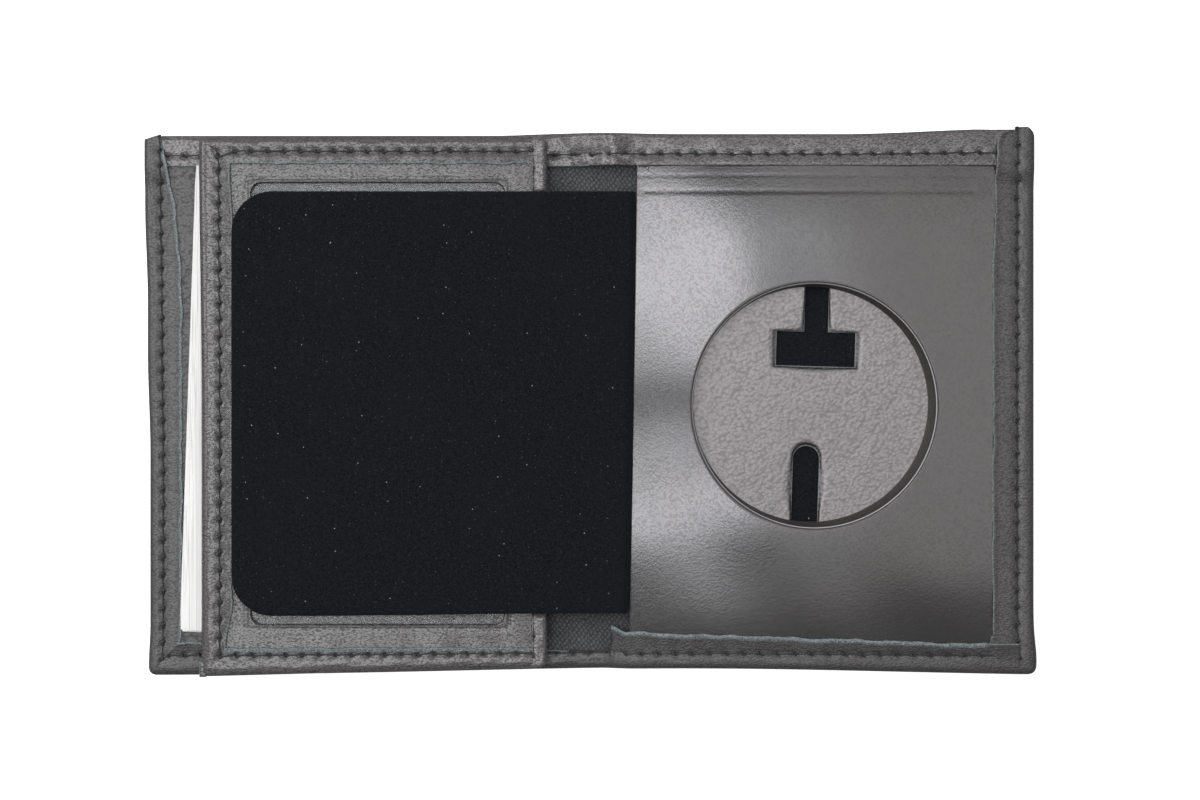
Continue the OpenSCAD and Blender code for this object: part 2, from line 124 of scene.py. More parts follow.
def stations(start, end, count, near_start=0.0, near_end=0.0):
    """Places from start to end: even in the middle, and packed by a cosine into each rounded end."""
    first = start + near_start * ARC_IN if near_start else np.array([start])
    last = end - near_end * ARC_IN[::-1] if near_end else np.array([end])
    middle = np.linspace(first[-1], last[0], count + 1)
    return np.concatenate([first, middle[1:-1], last])


# %% [markdown]
# A shell is a list of points and a list of four-cornered faces. `make_piece` joins shells into one mesh, merges
# what meets and turns every face outwards. A fourth number on each point, `cut`, is 1 at a raw edge, where the
# finish shows the pale suede core of the leather; it goes below 0 where painted shade darkens a stitch hole or
# the ground round a hole, and up to 2 where a painted highlight lies along a rim.


# %% Shells and meshes
def at(x, y, z, cut=0):
    """Points from x, y, z and the raw mark, any of which may be one number for all."""
    return np.stack(np.broadcast_arrays(x, y, z, cut), -1)


def cells(ids):
    """Each cell of a grid of point numbers as one face: a corner, the next along, then back across."""
    return np.stack([ids[:-1, :-1], ids[1:, :-1], ids[1:, 1:], ids[:-1, 1:]], -1).reshape(-1, 4)


def shell(top, under, walls="wens"):
    """Two equal grids of points, closed by a wall on each named side: w and e are the first and last
    row, s and n are the first and last column."""
    upper = np.arange(top.shape[0] * top.shape[1]).reshape(top.shape[:2])
    lower = upper + upper.size
    faces = [cells(upper), cells(lower)[:, ::-1]]
    rims = {"w": (0, slice(None)), "e": (-1, slice(None)), "s": (slice(None), 0), "n": (slice(None), -1)}
    for side in walls:
        faces.append(cells(np.stack([upper[rims[side]], lower[rims[side]]])))
    return np.concatenate([top.reshape(-1, 4), under.reshape(-1, 4)]), np.concatenate(faces)


def flat_sheet(xs, ys, low, high, walls):
    """A level sheet whose grid has its lines at xs and ys, so it can share another shell's points."""
    x, y = np.meshgrid(xs, ys, indexing="ij")
    return shell(at(x, y, high), at(x, y, low), walls)


def sewn_shape(points):
    """Sewing and use pull the rectangle a little out of true: the lower edge arches up by a bell of
    1.6 mm round x 18, the upper edge drops at the left and rises at the right, and the leaf's lower
    edge slants. Each pull fades in over the outermost 6 or 7 mm, so the middle stays where it is."""
    x, y, z = points[:, 0], points[:, 1], points[:, 2]
    leaf = step(4.3, 4.6, z) * step(-7.0, -8.0, x)
    low, high = step(-47.0, -HALF_H, y), step(47.0, HALF_H, y)
    west, east = step(-82.0, -HALF_W, x), step(82.0, HALF_W, x)
    arch = 1.6 * bell(x - 18.0, 60.0) - 0.1
    slant = -0.9 + 0.028 * (x - LEAF_X0)
    crown = 0.25 * bell(x - 3.0, 8.0) - 0.3 + ramps(x, (1.05, 50, 84), (-0.35, -5, -20))
    crown = crown + ramps(x, (-0.9, -84.5, -HALF_W), (-0.15, 76, 81), (-1.1, 86.4, HALF_W))
    left = ramps(y, (0.5, 10, -10), (-0.55, 20, 40), (-0.3, -44, -52))
    right = 0.6 * bell(y + 51.0, 5.0) - 0.1
    leaf_left = -0.5 * step(0.0, 50.0, y) * step(-70.0, LEAF_X0, x)
    out = points.copy()
    out[:, 0] = x + west * left + east * right + leaf * leaf_left
    out[:, 1] = y + low * (arch + (slant - arch) * leaf) + high * (crown + (-0.3 - crown) * leaf)
    return out


def add_object(name, data):
    """An object for some mesh, lamp or camera, linked to the scene."""
    thing = bpy.data.objects.new(name, data)
    bpy.context.scene.collection.objects.link(thing)
    return thing


def make_piece(name, *shells):
    """One mesh object from shells of points in millimetres, pulled into the sewn shape."""
    starts = np.cumsum([0] + [len(points) for points, _ in shells])
    points = sewn_shape(np.concatenate([points for points, _ in shells]))
    faces = np.concatenate([faces + start for (_, faces), start in zip(shells, starts)])
    mesh = bpy.data.meshes.new(name)
    mesh.from_pydata(points[:, :3] * MM, [], faces)
    cut = mesh.attributes.new("cut", "FLOAT", "POINT")
    cut.data.foreach_set("value", points[:, 3].astype(np.float32))
    work = bmesh.new()
    work.from_mesh(mesh)
    bmesh.ops.remove_doubles(work, verts=work.verts, dist=0.002 * MM)
    bmesh.ops.dissolve_degenerate(work, edges=work.edges, dist=0.0005 * MM)
    bmesh.ops.recalc_face_normals(work, faces=work.faces)
    work.to_mesh(mesh)
    work.free()
    mesh.polygons.foreach_set("use_smooth", np.ones(len(mesh.polygons), bool))
    mesh.set_sharp_from_angle(angle=math.radians(50))
    print(name, len(mesh.polygons), "faces")
    return add_object(name, mesh)


# %% [markdown]
# `slab` is the plain sheet. A round corner comes from squares round the corner's centre that are
# pressed into circles, so the rows of faces run round the corner as a folded edge does.


# %% A rounded sheet
def round_corners(x, y, box, radii):
    """Squares about each corner's centre become circles: an offset v is scaled by its larger part over
    its length. The radii are for the corners south-west, south-east, north-west and north-east."""
    x0, x1, y0, y1 = box
    for (cx, cy), r in zip([(x0, y0), (x1, y0), (x0, y1), (x1, y1)], radii):
        if not r:
            continue
        sx, sy = (1 if cx == x0 else -1), (1 if cy == y0 else -1)
        vx, vy = r - (x - cx) * sx, r - (y - cy) * sy
        inside = (vx > 0) & (vy > 0)
        share = np.where(inside, np.maximum(vx, vy) / np.maximum(np.hypot(vx, vy), 1e-9), 1)
        x = np.where(inside, cx + sx * (r - vx * share), x)
        y = np.where(inside, cy + sy * (r - vy * share), y)
    return x, y


def moved(shells, move):
    """The same shells with their points moved in the plane, where move gives new x and y from old."""
    out = []
    for points, faces in shells:
        out.append((np.column_stack([*move(points[:, 0], points[:, 1]), points[:, 2:]]), faces))
    return out


def slab(box, low, high, grid, radii=(0, 0, 0, 0), edge=(0.4, 0.4, 0.4, 0.4), raw="", lift=None,
         groove=None, holes=None):
    """A closed sheet over box = (x0, x1, y0, y1), with grid cells each way. Its thickness at a rounded
    side follows an ellipse: the root of 1 - (1 - q) squared, where q is the distance to the side over
    that side's rounding. edge gives the rounding west, east, south and north, and 0 is a square end.
    lift moves both sides up, groove lowers the upper side alone, and holes darkens it with painted shade where
    a needle went in. Sides named in raw show the leather's core."""
    x0, x1, y0, y1 = box
    xs = stations(x0, x1, grid[0], edge[0], edge[1])
    ys = stations(y0, y1, grid[1], edge[2], edge[3])
    x, y = np.meshgrid(xs, ys, indexing="ij")
    away = {"w": x - x0, "e": x1 - x, "s": y - y0, "n": y1 - y}
    q, cut = np.ones_like(x), np.zeros_like(x)
    for side, rounding in zip("wesn", edge):
        if rounding:
            q = np.minimum(q, np.clip(away[side] / rounding, 0, 1))
        if side in raw:
            cut = np.maximum(cut, np.clip(1 - away[side] / 0.45, 0, 1))
    full = np.sqrt(np.clip(1 - (1 - q) ** 2, 0, 1))
    rise = lift(x, y) if lift else 0
    sunk = groove(x, y) if groove else 0
    cut = cut - holes(x, y) if holes else cut
    x, y = round_corners(x, y, box, radii)
    middle, half = (low + high) / 2, (high - low) / 2
    top, under = middle + (half - sunk) * full + rise, middle - half * full + rise
    return shell(at(x, y, top, cut), at(x, y, under, cut))


# %% [markdown]
# `plate_with_hole` is leather with a window, a round seat or a slot. The hole and the outline are both
# seen from one centre, and the grid runs from the one to the other along rays.


# %% A plate with a hole
def reach_of(outline, angles, centre):
    """How far each ray from centre runs before it leaves the outline: for each side of the polygon,
    the cross product that gives where ray and side meet, and the nearest such meeting."""
    here = np.asarray(outline, float) - centre
    there = np.roll(here, -1, 0)
    side = there - here
    ray = np.stack([np.cos(angles), np.sin(angles)], -1)[:, None]
    across = ray[..., 0] * side[:, 1] - ray[..., 1] * side[:, 0]
    across = np.where(np.abs(across) < 1e-12, 1e-12, across)
    far = (here[:, 0] * side[:, 1] - here[:, 1] * side[:, 0]) / across
    share = (here[:, 0] * ray[..., 1] - here[:, 1] * ray[..., 0]) / across
    meets = (far > 1e-9) & (share > -1e-6) & (share < 1 + 1e-6)
    return np.where(meets, far, np.inf).min(1)


def rounded(box, r, arc=8):
    """The outline of a rectangle with corners of radius r, as points."""
    x0, x1, y0, y1 = box
    turn = np.linspace(0, np.pi / 2, arc + 1)
    centres = (x1 - r, y1 - r), (x0 + r, y1 - r), (x0 + r, y0 + r), (x1 - r, y0 + r)
    parts = []
    for quarter, (cx, cy) in enumerate(centres):
        a = turn + quarter * np.pi / 2
        parts.append(np.stack([cx + r * np.cos(a), cy + r * np.sin(a)], -1))
    return np.concatenate(parts)


FEW_POINTS = 120  # an outline with fewer points than this has real corners


def plate_with_hole(centre, hole, outline, top_z, low, rays, rings, rim, raw_hole=1.0, raw_outside=1.0,
                    lean_in=None, rim_highlight=0.0, rim_shade=(0.0, 1.0)):
    """A closed plate between two outlines. Its rim at the hole is rounded over rim millimetres by the same
    ellipse as a slab's side. top_z gives the upper height from x and y, and low is the height of the flat under
    side. lean_in(angle) is how far the hole's wall runs inwards on its way down, burnish is the width of a
    painted highlight along the rim, and dark gives the strength of the painted shade round the hole, and over
    how many millimetres it reaches."""
    centre = np.asarray(centre, float)
    cornered = [np.asarray(o, float) - centre for o in (hole, outline) if len(o) < FEW_POINTS]
    own_rays = [np.arctan2(o[:, 1], o[:, 0]) for o in cornered]
    even_rays = np.linspace(-np.pi, np.pi, rays, endpoint=False)
    angles = np.unique(np.round(np.concatenate([even_rays, *own_rays]), 6))
    angles = np.append(angles, angles[0] + 2 * np.pi)
    near, far = reach_of(hole, angles, centre)[:, None], reach_of(outline, angles, centre)[:, None]
    fixed = np.concatenate([ARC_IN * rim, np.full(rings + len(ARC), rim)])
    middle, last = np.linspace(0, 1, rings + 2)[1:-1], np.linspace(0.985, 1, len(ARC))
    share = np.concatenate([0 * ARC, middle, last])
    radius = near + fixed + (far - near - rim) * share
    ray_x, ray_y = np.cos(angles)[:, None], np.sin(angles)[:, None]
    x, y = centre[0] + radius * ray_x, centre[1] + radius * ray_y
    from_hole, from_outside = radius - near, far - radius
    full = np.sqrt(np.clip(1 - (1 - np.clip(from_hole / rim, 0, 1)) ** 2, 0, 1))
    cut = np.clip(1 - from_hole / 0.3, 0, 1) * raw_hole
    cut = np.maximum(cut, np.clip(1 - from_outside / 0.3, 0, 1) * raw_outside)
    # A painted highlight along the rim of the hole, carried in cut up to 2.
    painted_highlight = (from_hole < rim_highlight) * (from_hole > 0.01)
    # Painted shade on the ground round the hole, carried in cut below 0.
    shade = rim_shade[0] * step(rim_shade[1], rim_shade[1] * 0.3, from_hole) * (from_hole > 0.12)
    top = np.maximum(top_z(x, y) - min(rim, 0.45) * (1 - full), low + 0.01)
    inwards = (lean_in(angles)[:, None] if lean_in else 0) * np.exp(-from_hole)
    lower = at(x - inwards * ray_x, y - inwards * ray_y, low, cut)
    return shell(at(x, y, top, cut + painted_highlight - shade), lower, walls="sn")


# %% [markdown]
# ## Helpers for finishes
#
# A finish is a small network of shader nodes. `Amount` wraps one output of a node, so that sums can be
# written as in Python, and `Finish.node` makes every other node.


# %% Shader sums
class Amount:
    """One output of a shader node. Arithmetic on it adds Math nodes."""

    def __init__(self, finish, socket):
        self.finish, self.socket = finish, socket

    def math(self, operation, *values):
        return self.finish.node("Math", dict(enumerate(values)), operation=operation)

    def __add__(self, other):
        return self.math("ADD", self, other)

    def __sub__(self, other):
        return self.math("SUBTRACT", self, other)

    def __rsub__(self, other):
        return self.math("SUBTRACT", other, self)

    def __mul__(self, other):
        return self.math("MULTIPLY", self, other)

    __radd__, __rmul__ = __add__, __mul__


class Finish:
    """A material or a world under construction, with one method that makes any node."""

    def __init__(self, name, kind=bpy.data.materials):
        self.name, self.data = name, kind.new(name)
        self.data.use_nodes = True
        self.tree = self.data.node_tree
        self.tree.nodes.clear()

    def node(self, kind, inputs=None, output=0, **settings):
        made = self.tree.nodes.new("ShaderNode" + kind)
        for key, value in settings.items():
            setattr(made, key, value)
        for key, value in (inputs or {}).items():
            if isinstance(value, Amount):
                self.tree.links.new(value.socket, made.inputs[key])
            else:
                made.inputs[key].default_value = value
        return Amount(self, made.outputs[output]) if made.outputs else None

    def place(self, scale=(1, 1, 1), turn=0.0):
        """Object coordinates in metres, turned about z and scaled."""
        here = self.node("TexCoord", output="Object")
        return self.node("Mapping", {"Vector": here, "Rotation": (0, 0, turn), "Scale": scale})

    def noise(self, size, detail=2.0, at=None, roughness=0.5, output=0):
        """Soft noise whose lumps are about size millimetres."""
        inputs = {"Scale": 1 / (size * MM), "Detail": detail, "Roughness": roughness}
        return self.node("TexNoise", {"Vector": at or self.place(), **inputs}, output)

    def cut(self):
        """The points' mark for raw edges, for painted shade in stitch holes and round holes, and for a painted
        highlight along a rim.
        """
        return self.node("Attribute", output="Fac", attribute_name="cut")

    def between(self, low, high, value):
        """0 below low, 1 above high, and a straight climb between."""
        return self.node("MapRange", {"Value": value, "From Min": low, "From Max": high})

    def mix(self, factor, a, b):
        """A colour between a and b."""
        return self.node("Mix", {0: factor, 6: a, 7: b}, 2, data_type="RGBA")

    def stray(self, metres, at, drift):
        """A place moved a little towards a drifting vector, which breaks up a regular pattern."""
        return self.node("Mix", {0: metres, 4: at, 5: drift}, 1, data_type="VECTOR")

    def bump(self, height, depth, after=None):
        """A normal from a height, where 1 stands for depth millimetres, on top of another normal."""
        under = {"Normal": after} if after else {}
        return self.node("Bump", {"Height": height, "Distance": depth * MM, **under})

    def surface(self, **sockets):
        """Puts the Principled shader with these sockets on the material's surface."""
        inputs = {key.replace("_", " "): value for key, value in sockets.items()}
        self.node("OutputMaterial", {"Surface": self.node("BsdfPrincipled", inputs)})
        return self


def grey(level, blue=0.0):
    """A near-grey colour in linear light, with a little more or less blue."""
    return (level * (1 - 0.3 * blue), level, level * (1 + blue), 1.0)


# %% [markdown]
# ## Leather
#
# The wallet is cut from one finished hide, so its leathers share one recipe: a dark grey coat, pebbles with
# fine creases between them that carry painted shade, and slow changes of tone. At a raw edge the coat stops,
# and the fuzzy blue-grey core shows. Stitch holes and the ground round holes carry painted shade, and the rim
# of the badge seat a painted highlight.

# %% The leather recipe
SUEDE = (0.07, 0.09, 0.095, 1), (0.38, 0.43, 0.435, 1)
BROWN_CUT = (0.011, 0.01, 0.0095, 1), (0.045, 0.038, 0.033, 1)


def hide(level):
    """The coat's grey, a little warm."""
    return (level * 1.07, level * 0.99, level, 1)


def leather(name, tone, grain, depth, rough, turn=0.5, stretch=1.5, wrinkles=0.0, polish=0.5, soft=0.3,
            patches=0.35, lines=0.6, core=SUEDE):
    """tone is the coat's grey, grain the pebbles' size and depth their height in millimetres, and lines how
    strongly painted shade darkens the fine creases between pebbles, which also lack the clear polish. The
    attribute cut is 1 at a raw edge, 2 where a painted highlight lies along a rim, and below 0 where painted
    shade darkens a stitch hole or the ground round a hole."""
    f = Finish(name)
    hide_place = f.place(scale=(1.0, stretch, 1.0), turn=turn)
    drift = f.noise(grain / 0.35, at=hide_place, output="Color")
    spots = {"Vector": f.stray(grain * MM, hide_place, drift), "Scale": 1 / (grain * MM), "Smoothness": 0.35}
    pebble = f.node("TexVoronoi", spots, feature="SMOOTH_F1")
    fine = f.noise(grain * 0.4, 3.0, hide_place)
    slow = f.noise(14.0, 3.0)
    blotch = f.noise(3.2, 3.0, hide_place, roughness=0.6)
    cut = f.cut()
    fuzz = f.noise(0.3, 4.0, roughness=0.7)
    crease = f.between(0.42, 0.72, pebble + (fine - 0.5) * 0.3)
    # Painted shade: the creases between pebbles are darkened in the coat's colour.
    coat = f.mix(crease * lines, hide(tone), hide(tone * 0.35))
    coat = f.mix(f.between(0.35, 0.7, slow) * patches, coat, hide(tone * 0.7))
    raw = f.between(0.3, 0.6, cut * (fuzz + 0.35))
    # Painted shade in stitch holes and round holes: the colour goes nearly black where cut is below 0.
    hole = f.between(-0.15, -0.75, cut)
    colour = f.mix(raw, coat, f.mix(f.between(0.35, 0.7, fuzz), *core))
    colour = f.mix(hole, colour, grey(0.004))
    # A painted highlight where cut nears 2, along the rim of the badge seat.
    colour = f.mix(f.between(1.3, 1.8, cut), colour, grey(0.65, 0.05))
    height = (1 - pebble) * 0.9 + fine * 0.2
    if wrinkles:
        height = height + f.noise(5.0, 2.0, f.place(scale=(0.3, 1.6, 1.0), turn=turn + 0.9)) * wrinkles
    normal = f.bump(fuzz * raw, 0.2, after=f.bump(height, depth))
    shine = rough * ((slow - 0.5) * 0.3 + crease * 0.3 + 1) + raw * 0.4
    worn = f.between(0.2, 0.7, blotch) * 0.3 + 0.7
    clear = (1 - crease * lines) * (1 - raw) * (1 - hole) * worn * polish
    return f.surface(Base_Color=colour, Roughness=shine, Coat_Weight=clear, Coat_Roughness=soft,
                     Coat_IOR=1.6, Specular_IOR_Level=0.7, Normal=normal)


cover_leather = leather("cover_leather", 0.048, 0.5, 0.16, 0.5, wrinkles=1.2, polish=0.42)
inner_leather = leather("inner_leather", 0.078, 0.48, 0.34, 0.46, turn=0.9, wrinkles=0.3, polish=0.9,
                        soft=0.24, lines=0.75)
creased_leather = leather("creased_leather", 0.105, 0.5, 0.34, 0.44, turn=0.2, wrinkles=1.3, polish=1.0,
                          soft=0.22, lines=0.75)
panel_leather = leather("panel_leather", 0.055, 0.6, 0.03, 0.6, polish=0.3)
face_leather = leather("face_leather", 0.02, 0.45, 0.004, 0.11, stretch=1.0, polish=0.32, soft=0.11,
                       patches=0.15, lines=0.35, core=BROWN_CUT)
recess_leather = leather("recess_leather", 0.195, 0.72, 0.3, 0.42, turn=0.4, stretch=1.15, polish=0.9,
                         lines=0.4)
print("leathers:", [m.name for m in bpy.data.materials if "leather" in m.name])

# %% [markdown]
# ## Cloth, velvet, thread, paper and film
#
# The lining is a fine knit with rows of dark dots on the slant. Velvet takes nearly all light, but its pile has
# picked up dust. Paper is white with faint lines of painted shade along its stepped edge.


# %% Lining, velvet and thread
def lining_finish():
    """A knitted dot pattern: the product of two waves that cross, broken up by noise."""
    f = Finish("lining")
    rough = {"Distortion": 4.0, "Detail": 3.0, "Detail Scale": 2.0}
    one, other = (
        f.node("TexWave", {"Vector": f.place(turn=turn), "Scale": rate, **rough})
        for turn, rate in ((0.7, 380.0), (-0.6, 450.0))
    )
    weave = one * other * 0.38 + f.noise(0.35, 3.0, f.place(turn=0.7), roughness=0.65) * 0.62
    slow = f.noise(9.0, 2.0)
    colour = f.mix(f.between(0.2, 0.6, weave) * (slow * 0.6 + 0.4), grey(0.022, 0.1), grey(0.165, 0.05))
    return f.surface(Base_Color=colour, Roughness=0.85, Normal=f.bump(weave, 0.08), Specular_IOR_Level=0.3)


def velvet_finish():
    """Black pile with fine mottling. Dust is drawn where a cell's middle is very near, in a few cells
    only: for each size of dust, the cells' size and the speck's radius in millimetres, the share of
    cells left empty, and the dust's grey."""
    f = Finish("velvet")
    pile = f.noise(0.3, 4.0, roughness=0.7)
    nap = f.noise(14.0, 2.0)
    colour = f.mix(f.between(0.35, 0.75, pile), grey(0.0035, 0.15), grey(0.02, 0.25))
    colour = f.mix(f.between(0.45, 0.75, nap) * 0.5, colour, grey(0.011, 0.2))
    for size, radius, empty, level in ((1.3, 0.08, 0.75, 0.09), (5.5, 0.026, 0.6, 0.3)):
        drift = f.noise(1 / 0.9, output="Color")
        cell = {"Vector": f.stray(0.0005, f.place(), drift), "Scale": 1 / (size * MM)}
        kind = {"voronoi_dimensions": "2D"}
        near, pick = (f.node("TexVoronoi", cell, output, **kind) for output in ("Distance", "Color"))
        one = f.node("SeparateColor", {"Color": pick})
        speck = f.between(radius, radius * 0.4, near) * f.between(empty, empty + 0.2, one)
        colour = f.mix(speck, colour, grey(level, 0.25))
    colour = f.mix(f.cut(), colour, (0.10, 0.075, 0.055, 1))
    return f.surface(Base_Color=colour, Roughness=0.95, Normal=f.bump(pile, 0.12), Specular_IOR_Level=0.05,
                     Sheen_Weight=0.04, Sheen_Roughness=0.5)


def thread_finish():
    """Two plies twisted together: fine slanted bands along the stitch."""
    f = Finish("thread")
    twist = {"Vector": f.place(), "Scale": 900.0, "Distortion": 1.0}
    ply = f.node("TexWave", twist, bands_direction="DIAGONAL")
    colour = f.mix(ply * 0.6, grey(0.006, 0.2), grey(0.028, 0.25))
    return f.surface(Base_Color=colour, Roughness=0.55, Normal=f.bump(ply, 0.05), Sheen_Weight=0.1)


lining, velvet, thread = lining_finish(), velvet_finish(), thread_finish()


# %% Paper and film
def paper_finish():
    """White stock, with hair-thin grey lines of painted shade, for the steps between stacked leaves, along the
    page's long left edge, which fade out over the 3 mm from x -73 to x -70."""
    f = Finish("page")
    across = f.noise(1 / 5.2, at=f.place(scale=(1, 0.004, 1), turn=0.034))
    x = f.node("SeparateXYZ", {"Vector": f.place()})
    # Painted shade: grey lines along the stepped left edge of the stack.
    painted_step_shade = f.between(0.5, 0.66, across) * f.between(-0.07, -0.073, x)
    colour = f.mix(painted_step_shade * 0.5, (0.86, 0.855, 0.85, 1), (0.3, 0.29, 0.285, 1))
    return f.surface(Base_Color=colour, Roughness=0.6, Normal=f.bump(f.noise(0.6, 2.0), 0.01))


def film_finish():
    """Clear film: nearly invisible face on, with glints where it is dented."""
    f = Finish("clear_vinyl")
    dents = f.noise(4.0, 2.0, f.place(scale=(1, 1.8, 1)))
    scuffs = f.between(0.56, 0.74, f.noise(0.5, 3.0, f.place(scale=(3.0, 0.4, 1), turn=0.4)))
    alpha = f.between(0.0, 1.0, scuffs * 0.08 + 0.1)
    return f.surface(Base_Color=(0.2, 0.22, 0.24, 1), Alpha=alpha, Roughness=0.12, Normal=f.bump(dents, 0.05),
                     IOR=1.5)


page, clear_vinyl = paper_finish(), film_finish()
print("finishes:", len(bpy.data.materials))

# %% [markdown]
# Each piece is made, dressed and tied to its body in one call. A piece over a fold is given two bodies and the
# x where the bend starts and ends instead, but it is tied to neither and does not bend.

# %% A dressed piece
LEFT_BEND = ("left_half", "spine", -5.5, -3.0)
RIGHT_BEND = ("spine", "right_half", 3.0, 5.5)


def add_piece(name, finish, carrier, nodes, *shells, slot=None):
    """Makes a piece from its shells, gives it its finish, hides the nodes that it stands for, and ties it to
    its carrier when that is a body; for a bend it stays where it is, tied to no body, and the bend's bodies and
    x are not used. The slot is not used."""
    piece = make_piece(name, *shells)
    piece.data.materials.append(finish.data)
    slot or finish.name
    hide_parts(*nodes)
    if isinstance(carrier, str):
        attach(piece, carrier)
    else:
        first, second, start, end = carrier
        start * MM
        end * MM
        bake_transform(piece)
    return piece


# %% [markdown]
# ## Turned edges
#
# The cover's edges are turned in and sewn. The cross-section is a hook: along the underside, round the
# outer edge, and back over the top as the lip. It is carried along the edge, and at a mitred corner
# each line of the section stops at the diagonal, as folded leather does.

# %% Along an edge
FOOT, FOOT_END = 3.2, 2.0  # the flat part under the hook: where it meets the grid, and its next line
WALL_T, INNER_R, TOP_R = 0.7, 0.2, 1.5  # the leather at the fold, and the roundings inside and on top
RAW_R = 0.12
RAW_DEPTH, RAW_DROP = np.array([0.06, 0.11, RAW_R]), np.array([0.05, 0.16, 0.3])
ON_LIP = np.linspace(0, 1, 18)[1:]


def along_edge(edge, side, share, depth):
    """The point at share of the way along a side, depth millimetres in from the outer edge. An edge is
    a list of corners and a list of their inward directions. Both ends of the side move in along their
    corner's own direction, which for a corner is its diagonal."""
    a, b = (
        np.asarray(corner, float) + np.asarray(inward, float) * depth[..., None]
        for corner, inward in zip(edge[0][side : side + 2], edge[1][side : side + 2])
    )
    return a + (b - a) * share[..., None]


def section(width, low, high, start, r_low, r_high, on_lip, drop):
    """One side of the hook's section, as depths and heights: the flat foot, a quarter circle up to the
    wall, a quarter circle back over the top, the lip, and the rounding of its raw edge. start is how
    deep the wall stands, and drop how far the raw edge's rounding goes down."""
    flat = np.ones_like(width)
    low_run, high_run = start + flat * r_low * ARC_OUT, start + flat * r_high * ARC_IN
    low_rise, high_rise = low + flat * r_low * ARC_IN, high - r_high * ARC_OUT
    depths = [flat * [FOOT, FOOT_END], low_run, high_run, on_lip, width - RAW_R + RAW_DEPTH]
    heights = [flat * [low, low], low_rise, high_rise, high + 0 * on_lip, high - drop]
    return np.concatenate(depths, 1), np.concatenate(heights, 1)


def hook(edge, splits, lip, top, base, plate_t, sew, curls, turn_r=0.75):
    """The turned edge with its foot, as one shell for each side, and the foot's inner lines. lip(x, y)
    is the lip's width, top(x, y) its upper height, and sew gives for each side the stitch line's depth
    with the number of stitches. curls gives for each side how high the raw edge curls up, over what
    width, and how wide its suede fades. Over the spine, and under the end of another lip, the lip lies
    flatter and shows none."""
    shells, feet = [], []
    for side, share in enumerate(splits):
        outer = along_edge(edge, side, share, np.zeros_like(share))
        x, y = outer[:, :1], outer[:, 1:]
        width, high = lip(x, y), top(x, y)
        top_r = np.minimum(TOP_R, high - base - turn_r - 0.1)
        on_lip = top_r + (width - top_r - RAW_R) * ON_LIP
        d_out, z_out = section(width, base, high, 0, turn_r, top_r, on_lip, RAW_DROP)
        inside = np.maximum(on_lip, WALL_T + INNER_R + 0.02)
        d_in, z_in = section(width, base + plate_t, high - LIP_T, WALL_T, INNER_R, INNER_R, inside, -RAW_DROP)
        sew_depth, count = sew[side]
        phase = (share * count)[:, None]
        upper = np.arange(d_out.shape[1]) >= 2 + 2 * len(ARC)
        pull = bell(d_out - sew_depth, 0.8) * (0.16 + 0.34 * at_holes(phase, 0.55))
        wave = 0.05 * ripple(x + 0 * d_out, y + d_out, 9.0, 11 + side)
        curl_high, curl_wide, suede = curls[side]
        beside = step(3.9, 4.8, np.abs(x)) * (1 - 0.85 * side * step(83.5, 86.0, x))
        curl_high = 0.2 + (curl_high - 0.2) * beside
        curl = curl_high * np.clip((d_out - width + curl_wide) / curl_wide, 0, 1) ** 1.5
        uneven = 0.9 + 0.25 * ripple(x, y, 6.0, 5)
        z_out = z_out + (wave + curl * uneven - pull) * upper
        z_in = z_in + (wave + curl * uneven) * upper
        # Painted shade at each stitch hole, carried in cut below 0.
        needle = at_holes(phase, 0.42) * bell(d_out - sew_depth, 0.33)
        cut = (np.clip(1 - (width - d_out) / suede, 0, 1) * beside - 0.9 * needle) * upper
        over, under = (
            at(*np.moveaxis(along_edge(edge, side, share[:, None] + 0 * d, d), -1, 0), z, cut)
            for d, z in ((d_out, z_out), (d_in, z_in))
        )
        walls = "n" + "w" * (side == 0) + "e" * (side == len(splits) - 1)
        shells.append(shell(over, under, walls))
        feet.append(along_edge(edge, side, share, np.full_like(share, FOOT)))
    return shells, feet


def sewn_splits(counts, first=(), last=(), per_stitch=5):
    """For each side, even shares with a station at each stitch hole, and more where they are given."""
    out = []
    for index, count in enumerate(counts):
        share = np.linspace(0, 1, count * per_stitch + 1)
        extra = np.asarray(first if index == 0 else last if index == len(counts) - 1 else (), float)
        out.append(np.unique(np.round(np.concatenate([share, extra]), 7)))
    return out


# %% [markdown]
# ## The cover
#
# The cover is two skins that meet in the middle of the spine, because each bends over its own fold.
# The left lip narrows towards the top, and the bottom lip is narrow over the spine and jumps to full
# width in a small upturned tip.


# %% Widths and heights of the lips
def left_lip(x, y):
    """The left lip's width loses a circle's rise above y 14.6, and the bottom lip narrows over the spine."""
    over = np.clip(y - 14.6, 0, None)
    side = LEFT_LIP - (187.0 - np.sqrt(187.0**2 - over**2))
    below = BOTTOM_LIP + (SPINE_LIP - BOTTOM_LIP) * step(-13.0, -10.0, x)
    width = np.where(y > -HALF_H + 0.01, side, below)
    slow, quick = 0.12 * ripple(x, y, 7.0, 21), 0.06 * ripple(x, y, 1.6, 22)
    return width + slow * step(-0.2, -4.0, x) + quick * step(-0.2, -2.0, x)


def left_top(x, y):
    """The left lip lies over the facing near its upper end, so it climbs there."""
    return LOW_LIP + 0.75 * step(42.0, 47.5, y) + 0 * x


def foot_width(x):
    """The right half's bottom lip narrows evenly from the fold to the corner."""
    return 8.9 - 2.3 * np.clip((x - 8.0) / 74.0, 0, 1)


